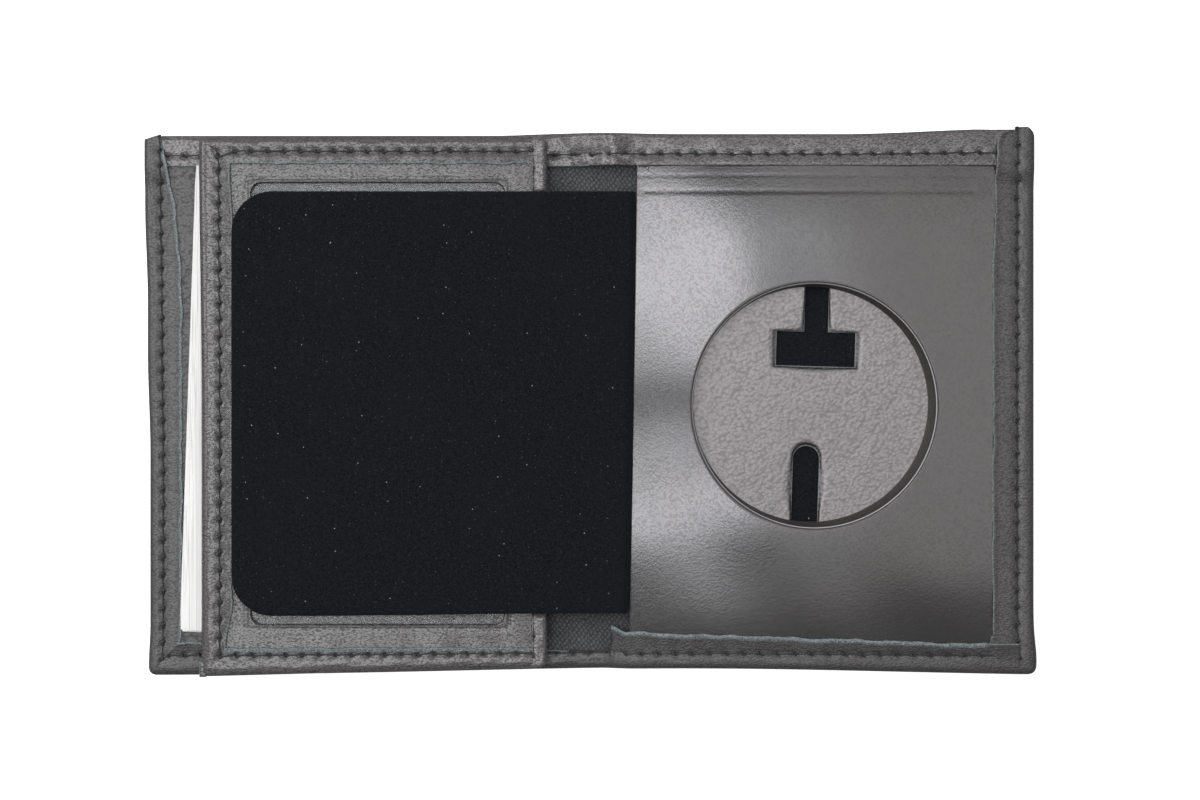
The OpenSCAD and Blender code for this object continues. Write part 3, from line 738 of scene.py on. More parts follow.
def right_lip(x, y):
    """The right lip ends in a round at the top, and the bottom lip starts with a pointed tip at the fold."""
    end = np.clip((y - (HALF_H - 3.2)) / 2.4, 0, 1)
    side = RIGHT_LIP - 0.9 * step(20.0, 54.0, y) - 3.4 * (1 - np.sqrt(1 - end**2))
    tip = 1.2 * bell(np.clip(x - 4.9, 0, None), 2.0)
    full = foot_width(x)
    below = SPINE_LIP + ramps(x, (full + tip - SPINE_LIP, 4.2, 4.75), (RIGHT_LIP - full, 85, 88))
    width = np.where(y > -HALF_H + 0.01, side, below)
    return width + (0.12 * ripple(x, y, 8.0, 31) + 0.05 * ripple(x, y, 1.5, 32)) * step(0.2, 5.0, x)


def right_top(x, y):
    """Low over the spine, high beside the badge face, and higher where it covers the facing's end."""
    rise = (HIGH_LIP - LOW_LIP + 0.35) * step(3.0, 9.0, x)
    return LOW_LIP + rise + 0.95 * step(42.0, 47.0, y) + 0.5 * bell(x - 5.0, 1.6)


SIDE_STITCHES, END_STITCHES = 31, 25
LEFT_EDGE = [(-HALF_W, HALF_H), (-HALF_W, -HALF_H), (0, -HALF_H)], [(1, 0), (1, 1), (0, 1)]
RIGHT_EDGE = [(HALF_W, HALF_H), (HALF_W, -HALF_H), (0, -HALF_H)], [(-1, 0), (-1, 1), (0, 1)]
LEFT_SEW = (3.0, SIDE_STITCHES), (4.0, END_STITCHES)
RIGHT_SEW = (3.5, SIDE_STITCHES), (4.0, END_STITCHES)
NEAR_TOP = (0.001, 0.002, 0.004)
NEAR_ROUND_END = (*NEAR_TOP, 0.007, 0.011, 0.015, 0.019)
NEAR_TIP = 1 - np.linspace(4.1, 5.3, 9) / HALF_W
left_splits = sewn_splits([SIDE_STITCHES, END_STITCHES], first=NEAR_TOP)
right_splits = sewn_splits([SIDE_STITCHES, END_STITCHES], first=NEAR_ROUND_END, last=NEAR_TIP)


# %% The two skins
def skin(edge, splits, lip, top, sew, curls, radii):
    """The hooks of one half, and the flat grid between them that shares their feet."""
    shells, feet = hook(edge, splits, lip, top, 0.0, PLATE_T, sew, curls)
    shells.append(flat_sheet(feet[1][:, 0], feet[0][:, 1], 0.0, PLATE_T, walls="se"))
    box = (*sorted((0, edge[0][0][0])), -HALF_H, HALF_H)
    return moved(shells, lambda x, y: round_corners(x, y, box, radii))


def over_corner(x, y):
    """The bottom lip's end curls up over the side lip as the rest of it does, and rises out of it."""
    return 0.85 * np.clip((y + 51.2) / 3.5, 0, 1) ** 1.5 - 0.45 * step(80.6, 79.0, x)


LEFT_CURLS = (0.2, 1.6, 1.15), (0.35, 1.8, 0.9)
RIGHT_CURLS = (0.2, 1.5, 0.3), (0.95, 3.5, 1.7)
left_skin = skin(LEFT_EDGE, left_splits, left_lip, left_top, LEFT_SEW, LEFT_CURLS, (1.5, 0, 0, 0))
right_skin = skin(RIGHT_EDGE, right_splits, right_lip, right_top, RIGHT_SEW, RIGHT_CURLS, (0, 1.5, 0, 0.6))
lip_end = slab((78.8, 84.8, -52.6, -47.4), 4.9, 5.34, (20, 16), edge=(0.3, 0.6, 0.3, 0.15), raw="n",
               lift=over_corner)
add_piece("cover_left", cover_leather, LEFT_BEND, ("left_cover", "spine_cover"), *left_skin)
add_piece("cover_right", cover_leather, RIGHT_BEND, ("right_cover",), *right_skin, lip_end)

# %% [markdown]
# ## Lining and facings
#
# The lining is the loose sheet that makes the banknote pocket, made as cloth cut to the size that it has here.
# A strip of leather, the facing, binds its top edge and creases where the wallet folds.

# %% The lining
LINING_W, LINING_Y0, LINING_Y1 = 86.0, -50.3, 52.6


def gutter_sag(x, y):
    """The lining is a little loose over the spine, so it lies in shallow waves there."""
    return 0.16 * ripple(x, y, 9.0, 41) * bell(x - 1.0, 9.0)


for name, x0, x1, edge, bend, nodes, below in (
    ("lining_left", -LINING_W, 0.0, (0.4, 0, 0.4, 0.4), LEFT_BEND, ("left_liner", "spine_liner"), "cover_left"),
    ("lining_right", 0.0, LINING_W, (0, 0.4, 0.4, 0.4), RIGHT_BEND, ("right_liner",), "cover_right"),
):
    box = (x0, x1, LINING_Y0, LINING_Y1)
    cloth = slab(box, LINING_LOW, LINING_HIGH - 0.1, (56, 60), edge=edge, lift=gutter_sag)
    half_lining = add_piece(name, lining, bend, nodes, cloth)

# %% The facings
FACING_LOW_Y, FACING_HIGH_Y, FACING_SEW_Y = 47.0, 53.4, 49.4


def facing_lift(x, y):
    """Flat on the lining at the left, a swell with folds where the wallet bends, and the badge side's
    level at the right."""
    folds = 0.22 * ripple(x, 0.25 * y, 5.0, 43) * bell(x - 2.0, 8.0)
    hill = 3.4 * step(-6.5, 4.4, x + 0.2 * (y - 50.0)) - 0.9 * step(4.4, 9.4, x)
    return folds + 0.04 * ripple(x, y, 8.0, 44) + hill


def facing_groove(x, y):
    """The stitches pull the strip down along their line, most at each hole."""
    return bell(y - FACING_SEW_Y, 0.75) * (0.1 + 0.28 * at_holes(x / PITCH, 0.55))


def facing_hole_shade(x, y):
    """Painted shade where the needle went in: at whole pitches along the sewing line."""
    return 0.9 * bell(y - FACING_SEW_Y, 0.33) * at_holes(x / PITCH, 0.42)


for name, x0, x1, edge, raw, bend, nodes in (
    ("facing_left", -85.5, 0.0, (0.4, 0, 0.15, 0.5), "s", LEFT_BEND, ("left_top_facing", "spine_top_facing")),
    ("facing_right", 0.0, 84.5, (0, 0.4, 0.15, 0.5), "", RIGHT_BEND, ("right_top_facing",)),
):
    box = (x0, x1, FACING_LOW_Y, FACING_HIGH_Y)
    strip = slab(box, LINING_HIGH - 0.35, LOW_LIP, (int((x1 - x0) / 0.7), 20), edge=edge, raw=raw,
                 lift=facing_lift, groove=facing_groove, holes=facing_hole_shade)
    add_piece(name, creased_leather, bend, nodes, strip, slot="inner_leather")

# %% The card panel
panel = slab((-84.6, -10.1, -49.0, 47.15), 2.12, 2.6, (40, 50), radii=(1, 1, 1, 1), raw="es", edge=(0.15,) * 4,
             lift=lambda x, y: 0.05 * ripple(x, y, 12.0, 46))
add_piece("card_panel", panel_leather, "left_half", ("left_card_panel",), panel)

# %% [markdown]
# ## The photo pages
#
# The insert is a small stack of pages, glued at the right, that leans a little in its pocket. Each
# lower page reaches further left, and is split into leaves, so the fine lines there are real edges.

# %% Pages
PAGE_CORNER, PAGE_TURN = (-78.2, 47.4), math.radians(-1.95)
PAGE_W, PAGE_H, PAGE_T, PAGE_STEP, BINDING_W = 59.6, 92.4, 0.26, 0.4, 2.4
PAGES, LEAVES = 5, 3
LEAF_SHARE = 0.86  # how much of its height a leaf fills, the rest being the air above it


def turn_page(x, y):
    """A point turned with the insert about its upper left corner."""
    dx, dy = x - PAGE_CORNER[0], y - PAGE_CORNER[1]
    c, s = math.cos(PAGE_TURN), math.sin(PAGE_TURN)
    return PAGE_CORNER[0] + dx * c - dy * s, PAGE_CORNER[1] + dx * s + dy * c


glued_x, thick = PAGE_CORNER[0] + PAGE_W, PAGE_T / LEAVES
for number in range(1, PAGES + 1):
    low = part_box(f"photo_page_{number}")[0].z / MM
    sheets = []
    for order in range((number - 1) * LEAVES, number * LEAVES):
        x0 = PAGE_CORNER[0] + PAGE_STEP * order / LEAVES
        y1 = PAGE_CORNER[1] - 0.12 * (order % 4)
        y0 = y1 - PAGE_H + 0.1 * (order % 3)
        z = low + order % LEAVES * thick
        wave = lambda x, y, k=order: 0.012 * ripple(x, y, 25.0, 60 + k)
        box = (x0, glued_x, y0, y1)
        sheets.append(slab(box, z, z + LEAF_SHARE * thick, (8, 24), (0.6, 0, 0.6, 0), (0.04,) * 4, lift=wave))
    name = f"photo_page_{number}"
    add_piece(f"page_stack_{number}", page, "photo_insert", (name,), *moved(sheets, turn_page))

low, high = (corner.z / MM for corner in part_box("photo_insert_binding"))
box = (glued_x, glued_x + BINDING_W, PAGE_CORNER[1] - PAGE_H, PAGE_CORNER[1])
glue = moved([slab(box, low, high, (6, 30), edge=(0, 0.6, 0.3, 0.3))], turn_page)
add_piece("page_binding", page, "photo_insert", ("photo_insert_binding",), *glue)

# %% [markdown]
# ## The card leaf
#
# The leaf is a pocket: a leather back, with three edges turned over a leather front, and clear film
# between them. The same hook as the cover's makes the back and its edges.

# %% The leaf's back with its turned edges
LEAF_CORNERS = [(LEAF_X1, LEAF_Y), (LEAF_X0, LEAF_Y), (LEAF_X0, -LEAF_Y), (LEAF_X1, -LEAF_Y)]
LEAF_EDGE = LEAF_CORNERS, [(0, -1), (1, -1), (1, 1), (0, 1)]
LEAF_STITCHES = (19, 30, 19)
LEAF_SEW = tuple(zip((3.2, 3.7, 3.6), LEAF_STITCHES))
LEAF_CURLS = (0.1, 1.2, 0.7), (0.15, 1.5, 0.5), (0.2, 1.2, 2.1)
TOP_LIP, SIDE_LIP, FOOT_LIP = 5.8, 6.3, 4.9


def leaf_lip(x, y):
    """Each side's own width, eased into the next round the corners."""
    side = SIDE_LIP + (TOP_LIP - SIDE_LIP) * step(42.0, 53.0, y) + (FOOT_LIP - SIDE_LIP) * step(-44.0, -53.0, y)
    along = np.where(y > 0, TOP_LIP, FOOT_LIP)
    width = np.where(np.abs(y) > LEAF_Y - 0.01, along, side)
    return width + 0.12 * ripple(x, y, 7.0, 51) + 0.06 * ripple(x, y, 1.6, 52)


def leaf_level(x, y):
    """The leaf's lips are level."""
    return LEAF_TOP - 0.1 + 0 * x


leaf_splits = sewn_splits(LEAF_STITCHES)
shells, feet = hook(LEAF_EDGE, leaf_splits, leaf_lip, leaf_level, LEAF_LOW, LEAF_BACK_T, LEAF_SEW,
                    LEAF_CURLS, turn_r=0.7)
shells.append(flat_sheet(feet[0][:, 0], feet[1][:, 1], LEAF_LOW, LEAF_LOW + LEAF_BACK_T, walls="w"))
leaf_box = (LEAF_X0, LEAF_X1, -LEAF_Y, LEAF_Y)
shells = moved(shells, lambda x, y: round_corners(x, y, leaf_box, (1.2, 0, 1.6, 0)))
mitre_end = slab((-77.0, -75.7, -53.1, -50.4), 5.0, 7.0, (4, 8), edge=(0.3, 0, 0.3, 0.3), raw="wens")
add_piece("card_leaf_back", inner_leather, "left_half", ("leaf_back",), *shells, mitre_end)

# %% The leaf's front, its film and its seam strip
WINDOW = (-66.8, -16.8, -43.5, 43.5)
FRONT = [(-74.5, -50.8), (-11.4, -50.8), (-11.4, 50.8), (-74.5, 50.8)]


def front_top(x, y):
    """Level, with a pressed line round the window and slight unevenness."""
    x0, x1, y0, y1 = WINDOW
    out = np.hypot(np.maximum(np.maximum(x0 - x, x - x1), 0), np.maximum(np.maximum(y0 - y, y - y1), 0))
    return 6.72 - 0.14 * bell(out - 0.9, 0.3) + 0.05 * ripple(x, y, 8.0, 53)


window_centre = ((WINDOW[0] + WINDOW[1]) / 2, 0.0)
# Painted shade darkens a thin band round the window's cut edge.
front = plate_with_hole(window_centre, rounded(WINDOW, 2.2), FRONT, front_top, 6.05, rays=420, rings=22,
                        rim=0.3, raw_hole=0.0, rim_shade=(0.9, 0.4))
add_piece("card_leaf_front", inner_leather, "left_half", ("leaf_front",), front)


def film_waves(x, y):
    """The film is slack: long shallow waves, small dents along its lower edge, and a pressed line
    0.9 mm inside the window."""
    x0, x1, y0, y1 = WINDOW
    inside = np.minimum(np.minimum(x - x0, x1 - x), np.minimum(y - y0, y1 - y))
    dents = 0.05 * ripple(x, y, 1.6, 55) * step(-38.0, -43.0, y) * step(-56.0, -50.0, x)
    return 0.03 * ripple(x, y, 16.0, 54) + dents - 0.1 * bell(inside - 0.9, 0.25)


film = slab((-70.5, -15.0, -47.0, 47.0), 5.72, 5.9, (90, 150), radii=(1, 1, 1, 1), edge=(0.1,) * 4,
            lift=film_waves)
add_piece("window_film", clear_vinyl, "left_half", ("leaf_window",), film)


def strip_groove(x, y):
    """Pulled down at the seam's knots, along the strip's left side."""
    return bell(x + 11.1, 0.35) * (0.08 + 0.3 * at_holes(y / SEAM_PITCH, 0.5, SEAM_PITCH))


# Under the flap the strip is pressed flat, which leaves room for the flap's bend in the shut wallet.
STRIP_TOP = LEAF_TOP - 0.05
strip, strip_faces = slab((-11.6, -8.4, -53.0, 53.0), 4.75, STRIP_TOP, (20, 160), radii=(0, 2.0, 0, 2.0),
                          edge=(0.25, 0.9, 0.6, 0.6), groove=strip_groove,
                          lift=lambda x, y: 0.05 * ripple(x, y, 6.0, 56))
under_flap = step(41.5, 40.9, np.abs(strip[:, 1])) * step(-11.25, -10.3, strip[:, 0])
pressed_z = np.minimum(strip[:, 2], STRIP_TOP - 2.2 * under_flap)
strip[:, 2] = np.where(under_flap > 0, pressed_z, strip[:, 2])
seam = ("leaf_seam_strip",)
add_piece("leaf_seam", creased_leather, "left_half", seam, (strip, strip_faces), slot="inner_leather")

# %% The gusset that holds the leaf like a page
GUSSET_LOW, GUSSET_HALF_T = 2.15, 0.35
height, along = np.meshgrid(np.linspace(0, 1, 14), stations(-50.0, 46.4, 60, 0.4, 0.4), indexing="ij")
gusset_x = -9.3 + 0.45 * np.sin(np.pi * height) + 0.05 * ripple(along, height, 9.0, 57)
gusset_z = GUSSET_LOW + (LEAF_LOW + 0.1 - GUSSET_LOW) * height
right_side, left_side = (at(gusset_x + t, along, gusset_z) for t in (GUSSET_HALF_T, -GUSSET_HALF_T))
add_piece("leaf_gusset_web", panel_leather, "left_half", ("leaf_gusset",), shell(right_side, left_side))

# %% [markdown]
# ## The badge side
#
# Three layers lie under each other: velvet, a pebbled panel with two slots for a badge's clip and pin, and a
# smooth stiff face. Its round hole has a painted highlight along its rim, over a brown cut wall.

# %% The velvet backing
pile = slab((9.4, 84.0, -49.0, 49.6), 2.15, 2.58, (40, 50), edge=(0.2,) * 4, raw="wens",
            lift=lambda x, y: 0.006 * ripple(x, y, 9.0, 61))
backing = add_piece("badge_backing_velvet", velvet, "right_half", ("badge_backing",), pile)

# %% The recess panel with its slots
SEAT, SEAT_R = (44.4, -0.4), 24.1
BAR_X, BAR_Y, BAR_TURN = 44.8, 10.8, math.radians(-1.6)
PIN_TOP, PIN_X, PIN_R = -8.4, 42.9, 2.6
PANEL_X0, PANEL_X1, PANEL_Y0, SPLIT_Y, PANEL_Y1 = 16.0, 73.0, -29.0, 0.0, 28.5

# The clip slot is a bar with a stem on top, as offsets from the bar's middle, turned a little.
BAR = [(-7.8, -3.4), (7.8, -3.4), (7.8, 3.4), (-7.8, 3.4)]
STEM = [(2.35, 3.4), (2.35, 14.0), (-2.35, 14.0), (-2.35, 3.4)]
dx, dy = np.array([*BAR[:3], *STEM, BAR[3]]).T
c, s = math.cos(BAR_TURN), math.sin(BAR_TURN)
clip_slot = np.stack([BAR_X + dx * c - dy * s, BAR_Y + dx * s + dy * c], -1)
# The pin slot has a round top and runs down out of sight, slightly to the left.
pin_arc = np.linspace(0, np.pi, 19)
pin_round = np.stack([PIN_X + PIN_R * np.cos(pin_arc), PIN_TOP - PIN_R + PIN_R * np.sin(pin_arc)], -1)
pin_slot = np.concatenate([pin_round, [(PIN_X - PIN_R - 0.5, -26.4), (PIN_X + PIN_R - 0.5, -26.4)]])


def slotted(outline, centre, y0, y1):
    """The part of the panel from y0 to y1, with one slot. The panel sinks a little round the slot, over
    most of a millimetre from its edge."""
    def top(x, y):
        dx, dy = x - centre[0], y - centre[1]
        edge_at = reach_of(outline, np.arctan2(dy, dx).ravel(), np.asarray(centre)).reshape(x.shape)
        return 3.46 - 0.5 * step(1.2, 0.1, np.hypot(dx, dy) - edge_at) + 0.012 * ripple(x, y, 5.0, 62)

    box = [(PANEL_X0, y0), (PANEL_X1, y0), (PANEL_X1, y1), (PANEL_X0, y1)]
    # Painted shade darkens the panel round the slot.
    return plate_with_hole(centre, outline, box, top, 2.65, rays=300, rings=40, rim=0.16, raw_hole=0.75,
                           raw_outside=0.0, rim_shade=(0.85, 1.2))


upper = slotted(clip_slot, (BAR_X, BAR_Y + 1.5), SPLIT_Y, PANEL_Y1)
lower = slotted(pin_slot, (PIN_X - 0.2, -16.0), PANEL_Y0, SPLIT_Y)
add_piece("recess_panel", recess_leather, "right_half", ("badge_recess_panel",), upper, lower)

# %% The face
FACE_X1, FACE_Y0, FACE_Y1, FACE_TOP = 82.5, -50.6, 50.4, 5.2
seat_turn = np.linspace(-np.pi, np.pi, 240, endpoint=False)
seat_circle = np.stack([SEAT[0] + SEAT_R * np.cos(seat_turn), SEAT[1] + SEAT_R * np.sin(seat_turn)], -1)


def face_left(y):
    """The left edge was cut a little askew: 1.6 mm further left at the bottom than at the top."""
    return 9.35 - 0.0161 * (50.4 - y)


def face_top(x, y):
    """Level at 5.2 mm, less the two pressed lines, and lower where it runs under the lips and facing."""
    pressed = bell(y - 42.0, 0.22) + bell(y - 45.1, 0.22)
    level = FACE_TOP - 0.01 * step(41.0, 42.0, y) - 0.008 * pressed * (1 - 0.6 * step(35.0, 70.0, x))
    raw_x = 79.7 + 0.9 * step(20.0, 54.0, y)
    under_lips = np.maximum(step(0.1, 0.8, x - raw_x), step(0.8, 1.5, foot_width(x) - HALF_H - y))
    return level - 0.9 * np.maximum(under_lips, step(47.4, 48.2, y)) + 0.03 * ripple(x, y, 26.0, 63)


# Points along the left side near its corners get rays of their own, so the face sinks smoothly there.
near_corner = np.arange(44.0, 49.0, 0.4)
left_ys = np.concatenate([[FACE_Y1], near_corner[::-1], -near_corner])
left_side = [(face_left(y), y) for y in left_ys]
outline = [(face_left(FACE_Y0), FACE_Y0), (FACE_X1, FACE_Y0), (FACE_X1, FACE_Y1), *left_side]
# The seat's rim carries a painted highlight 0.4 mm wide.
plate = plate_with_hole(SEAT, seat_circle, outline, face_top, 3.5, rays=480, rings=76, rim=0.5, rim_highlight=0.4,
                        lean_in=lambda a: 0.1 + 0.72 * (1 + np.cos(a + 0.35)))
add_piece("badge_face", face_leather, "right_half", ("badge_face_panel",), plate)

# %% [markdown]
# ## The velvet flap
#
# The flap is one sheet of velvet on leather. Its section runs along the leaf, round a quarter circle and down
# behind the face, and its last stretch is slightly narrower.

# %% The flap
FLAP_X0, FLAP_X1, FLAP_HALF_W = -70.4, 7.8, 41.7
FLAP_LOW, FLAP_HIGH, FLAP_BEND, FLAP_DROP, FLAP_EDGE = 7.8, 9.1, 1.0, 3.9, 0.7
FLAP_STRAIGHT = FLAP_X1 - 0.25 - FLAP_BEND - FLAP_X0
FLAP_LENGTH = FLAP_STRAIGHT + FLAP_BEND * np.pi / 2 + FLAP_DROP


def along_flap(distance):
    """x, z and slope of the sheet's middle line, distance millimetres from its free end: straight, then
    a quarter circle of radius FLAP_BEND, then straight down."""
    turn = np.clip((distance - FLAP_STRAIGHT) / FLAP_BEND, 0, np.pi / 2)
    down = np.clip(distance - FLAP_STRAIGHT - FLAP_BEND * np.pi / 2, 0, None)
    x = FLAP_X0 + np.minimum(distance, FLAP_STRAIGHT) + FLAP_BEND * np.sin(turn)
    z = (FLAP_LOW + FLAP_HIGH) / 2 - FLAP_BEND * (1 - np.cos(turn)) - down
    return x, z, turn


even, fine = stations(0, FLAP_LENGTH - 7.0, 80, FLAP_EDGE, 0), np.linspace(FLAP_LENGTH - 7.0, FLAP_LENGTH, 36)
across = stations(-FLAP_HALF_W, FLAP_HALF_W, 90, FLAP_EDGE, FLAP_EDGE)
d, y = np.meshgrid(np.unique(np.concatenate([even, fine])), across, indexing="ij")
q = np.clip(np.minimum(np.minimum(d, y + FLAP_HALF_W), FLAP_HALF_W - y) / FLAP_EDGE, 0, 1)
half = 0.5 * (FLAP_HIGH - FLAP_LOW) * np.sqrt(1 - (1 - q) ** 2)
half = half * (1 - 0.45 * step(FLAP_LENGTH - 6.0, FLAP_LENGTH - 4.0, d))
middle_x, middle_z, turn = along_flap(d)
free_x, flat_y = round_corners(d, y, (0, 1e6, -FLAP_HALF_W, FLAP_HALF_W), (8.0, 0, 8.0, 0))
middle_x = np.where(d < 20, FLAP_X0 + free_x, middle_x)
middle_x = middle_x + (face_left(y) - 8.03) * step(30.0, 76.0, d)
flat_y = flat_y + 0.5 * step(10.0, 70.0, d) * step(0, -40.0, y)
flat_y = flat_y * (1 - 0.03 * step(FLAP_LENGTH - 4.2, FLAP_LENGTH - 3.4, d))
outer_side, inner_side = (
    at(middle_x + h * np.sin(turn), flat_y, middle_z + h * np.cos(turn)) for h in (half, -half)
)
flap = make_piece("velvet_flap", shell(outer_side, inner_side))
flap.data.materials.append(velvet.data)
flap.data.materials.append(panel_leather.data)

# Leather shows where a face looks down, and on the hidden side of the last stretch.
normals, middles = (np.zeros(len(flap.data.polygons) * 3) for _ in range(2))
flap.data.polygons.foreach_get("normal", normals)
flap.data.polygons.foreach_get("center", middles)
normals, middles = normals.reshape(-1, 3), middles.reshape(-1, 3)
leather_side = (normals[:, 2] < -0.3) | ((middles[:, 2] < 7.6 * MM) & (normals[:, 0] < -0.5))
flap.data.polygons.foreach_set("material_index", leather_side.astype(np.int32))
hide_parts("flap_velvet", "flap_leather")
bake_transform(flap)
flat_size = (FLAP_LENGTH * MM, 2 * FLAP_HALF_W * MM)

# %% [markdown]
# ## Stitches
#
# A stitch is a short bow of thread that dives into the leather at both ends. A row is one bow copied
# to every place in one array step, with a little chance in its length and slant.


# %% Rows of stitches
def bow(length, rise, dive, radius, rings=11, sides=6):
    """A tube round the curve z = rise - (rise + dive) t to the fourth, for t from -1 to 1, closed at
    both ends by drawing the last ring together. It is thin in the middle and swells into a knot by
    each hole: 0.36 + 0.9 times a bell round t = 0.85."""
    t = np.sin(np.linspace(-np.pi / 2, np.pi / 2, rings))[:, None]
    turn = np.linspace(0, 2 * np.pi, sides + 1)[None]
    size = radius * (0.36 + 0.9 * bell(np.abs(t) - 0.85, 0.17)) * np.sqrt(np.clip(1 - t**12, 0, 1))
    x = t * length / 2 + 0 * turn
    return at(x, size * np.cos(turn), rise - (rise + dive) * t**4 + size * np.sin(turn))


def stitch_row(places, angle, heights, seed, pitch=PITCH, radius=0.36):
    """The bow at each place, turned to the row's direction: x and y by the rotation, z added. A bow is
    a little longer than the pitch, so that neighbours meet in their hole."""
    draw = np.random.default_rng(seed)
    one = bow(pitch * 1.06, 0.12, 0.2, radius)
    count = len(places)
    angles = angle + draw.normal(0.07, 0.05, count)
    stretch = 1 + draw.normal(0, 0.025, count)
    x, y, z = (one[None, ..., axis] for axis in range(3))
    x = x * stretch[:, None, None]
    c, s = np.cos(angles)[:, None, None], np.sin(angles)[:, None, None]
    px = places[:, 0, None, None] + x * c - y * s
    py = places[:, 1, None, None] + x * s + y * c + draw.normal(0, 0.03, count)[:, None, None]
    points = at(px, py, heights[:, None, None] + z)
    ids = np.arange(px.size).reshape(px.shape)
    return points.reshape(-1, 4), np.concatenate([cells(row) for row in ids])


def edge_row(edge, side, sew, top, seed, x_from=-np.inf, x_to=np.inf):
    """A row along one side of a turned edge, with a stitch between each pair of holes, where sew is the
    row's depth and its number of stitches. Only those between x_from and x_to are kept."""
    depth, count = sew
    share = (np.arange(count) + 0.5) / count
    places = along_edge(edge, side, share, np.full(count, depth))
    places = places[(places[:, 0] > x_from) & (places[:, 0] < x_to)]
    run = places[-1] - places[0]
    heights = top(places[:, 0], places[:, 1]) - 0.1
    return stitch_row(places, math.atan2(run[1], run[0]), heights, seed)


def facing_row(x0, x1, seed):
    """A row along the facing, between holes that lie at whole pitches."""
    xs = (np.arange(math.ceil(x0 / PITCH), math.floor(x1 / PITCH)) + 0.5) * PITCH
    ys = np.full_like(xs, FACING_SEW_Y)
    return stitch_row(np.stack([xs, ys], -1), 0.0, LOW_LIP + facing_lift(xs, ys) - 0.1, seed)


def spine_top(x, y):
    """The bottom lip's height over the spine."""
    return LOW_LIP + 0.3 + 0 * x


SPINE_SEW = (4.2, END_STITCHES)
add_piece("stitches_left", thread, "left_half", ("left_stitching",),
          edge_row(LEFT_EDGE, 0, LEFT_SEW[0], left_top, 71),
          edge_row(LEFT_EDGE, 1, LEFT_SEW[1], left_top, 72, x_to=-5.0),
          facing_row(-84.0, -3.5, 73))
add_piece("stitches_spine", thread, "spine", ("spine_stitching",),
          edge_row(LEFT_EDGE, 1, SPINE_SEW, spine_top, 74, x_from=-5.0),
          edge_row(RIGHT_EDGE, 1, SPINE_SEW, spine_top, 75, x_to=3.8),
          facing_row(-4.2, 4.0, 76))
add_piece("stitches_right", thread, RIGHT_BEND, ("right_stitching",),
          edge_row(RIGHT_EDGE, 0, RIGHT_SEW[0], right_top, 77),
          edge_row(RIGHT_EDGE, 1, RIGHT_SEW[1], right_top, 78, x_from=5.6),
          facing_row(3.4, 81.0, 79))
leaf_rows = [edge_row(LEAF_EDGE, side, LEAF_SEW[side], leaf_level, 80 + side) for side in range(3)]
top_points = leaf_rows[0][0]
top_points[:, 1] -= 1.3 * step(-69.0, -73.6, top_points[:, 0])
seam_y = (np.arange(-11, 11) + 0.5) * SEAM_PITCH
seam_places = np.stack([np.full_like(seam_y, -11.1), seam_y], -1)
seam_heights = np.full_like(seam_y, LEAF_TOP - 0.18)
leaf_rows.append(stitch_row(seam_places, np.pi / 2, seam_heights, 84, SEAM_PITCH, radius=0.17))
add_piece("stitches_leaf", thread, "left_half", ("leaf_stitching",), *leaf_rows)

# %% [markdown]
# ## Floor, light and camera
#
# The camera looks straight down. One large soft light hangs over the left of the face, which mirrors
# it there and falls off to the right. The floor is white to the camera, but gives little light back.

# %% The floor
FLOOR, FLOOR_Z = 3, -0.0002
floor_mesh = bpy.data.meshes.new("floor")
corners = [(FLOOR * sx, FLOOR * sy, FLOOR_Z) for sx, sy in ((-1, -1), (1, -1), (1, 1), (-1, 1))]
floor_mesh.from_pydata(corners, [], [(0, 1, 2, 3)])
f = Finish("floor")
seen = f.node("LightPath", output="Is Camera Ray")
matt = f.node("BsdfDiffuse", {"Color": f.mix(seen, grey(0.3), grey(0.9))})
glow = f.node("Emission", {"Color": grey(1.0), "Strength": 0.72})
both = f.node("AddShader", {0: matt, 1: glow})
f.node("OutputMaterial", {"Surface": f.node("MixShader", {0: seen, 1: matt, 2: both})})
floor_mesh.materials.append(f.data)
add_object("floor", floor_mesh)

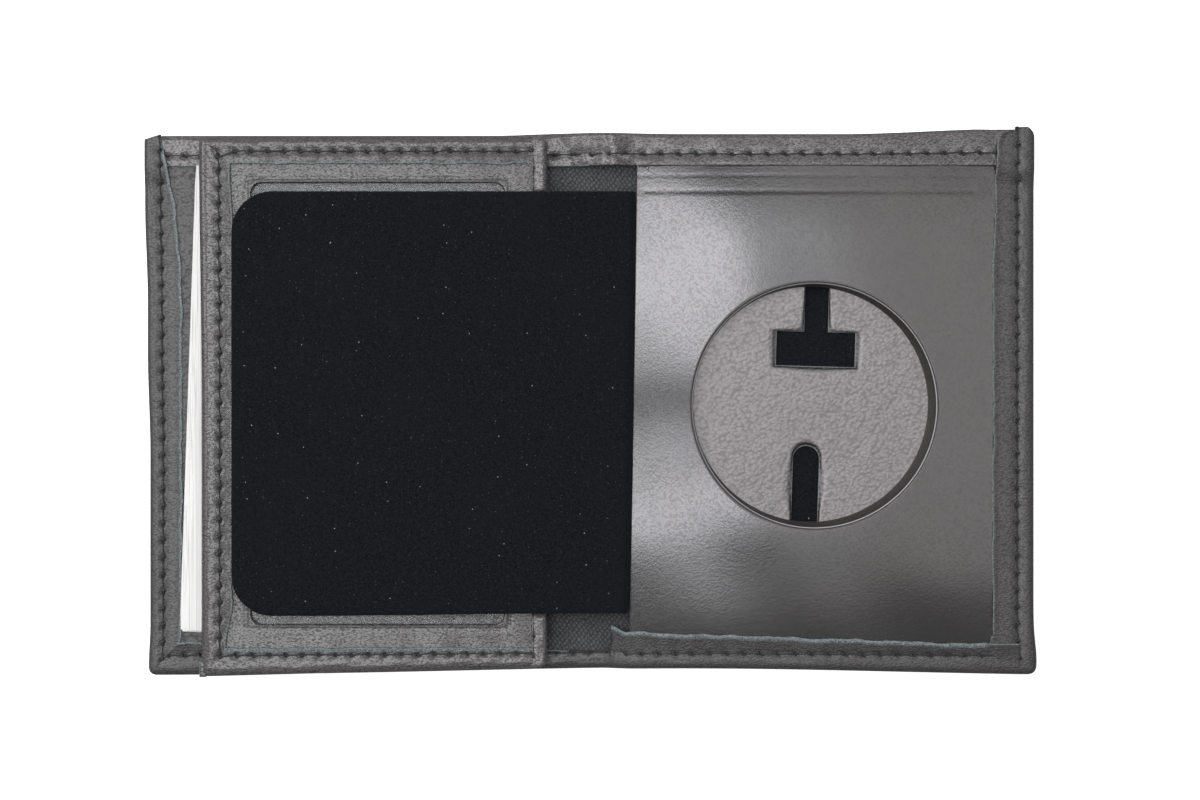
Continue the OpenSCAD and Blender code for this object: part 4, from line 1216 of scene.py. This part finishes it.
# %% The world and the lamps
f = Finish("studio", bpy.data.worlds)
seen = f.node("LightPath", output="Is Camera Ray")
strength = f.node("MapRange", {"Value": seen, "To Min": 0.25, "To Max": 1.0})
f.node("OutputWorld", {"Surface": f.node("Background", {"Strength": strength})})
bpy.context.scene.world = f.data


def soft_box(name, place, size, power, look_at=(0, 0, 0), tint=(1, 1, 1)):
    """A rectangular lamp at a place in metres, turned to face look_at."""
    lamp = bpy.data.lights.new(name, "AREA")
    lamp.shape, lamp.size, lamp.size_y, lamp.energy, lamp.color = "RECTANGLE", *size, power, tint
    holder = add_object(name, lamp)
    holder.location = place
    aim = mathutils.Vector(look_at) - mathutils.Vector(place)
    holder.rotation_euler = aim.to_track_quat("-Z", "Y").to_euler()


# A lamp that hangs level has its strength given as the brightness of its face: the power is
# brightness times pi times area.
LAMP_Z = 0.75
COOL, WARM, WHITE = (0.97, 0.96, 1.0), (1.0, 0.96, 0.95), (1, 1, 1)
for name, x, y, size, brightness, tint in (
    ("over_face", 0.009, 0.0615, (0.138, 0.081), 8.2, COOL),
    ("beside_face", 0.099, 0.068, (0.038, 0.08), 2.6, COOL),
    ("under_face", 0.009, -0.049, (0.138, 0.05), 8.0, COOL),
    ("under_side", 0.099, -0.052, (0.038, 0.046), 2.6, COOL),
    ("over_leaf", -0.19, 0.03, (0.26, 0.5), 5.1, WHITE),
    ("over_right", 0.18, 0.02, (0.17, 0.22), 1.75, WARM),
):
    soft_box(name, (x, y, LAMP_Z), size, brightness * math.pi * size[0] * size[1], (x, y, 0), tint)
soft_box("left_window", (-0.75, 0.25, 0.65), (0.6, 0.6), 5.0)
soft_box("far_side", (0.55, 0.6, 0.7), (0.6, 0.5), 3.2)

# %% The camera
camera_data = bpy.data.cameras.new("camera")
camera_data.lens, camera_data.sensor_width = 77.4, 36.0
camera_data.clip_start, camera_data.clip_end = 0.01, 10
camera = add_object("camera", camera_data)
camera.location = (0.002, 0.0007, 0.515)
bpy.context.scene.camera = camera
bpy.context.scene.view_settings.view_transform = "Standard"
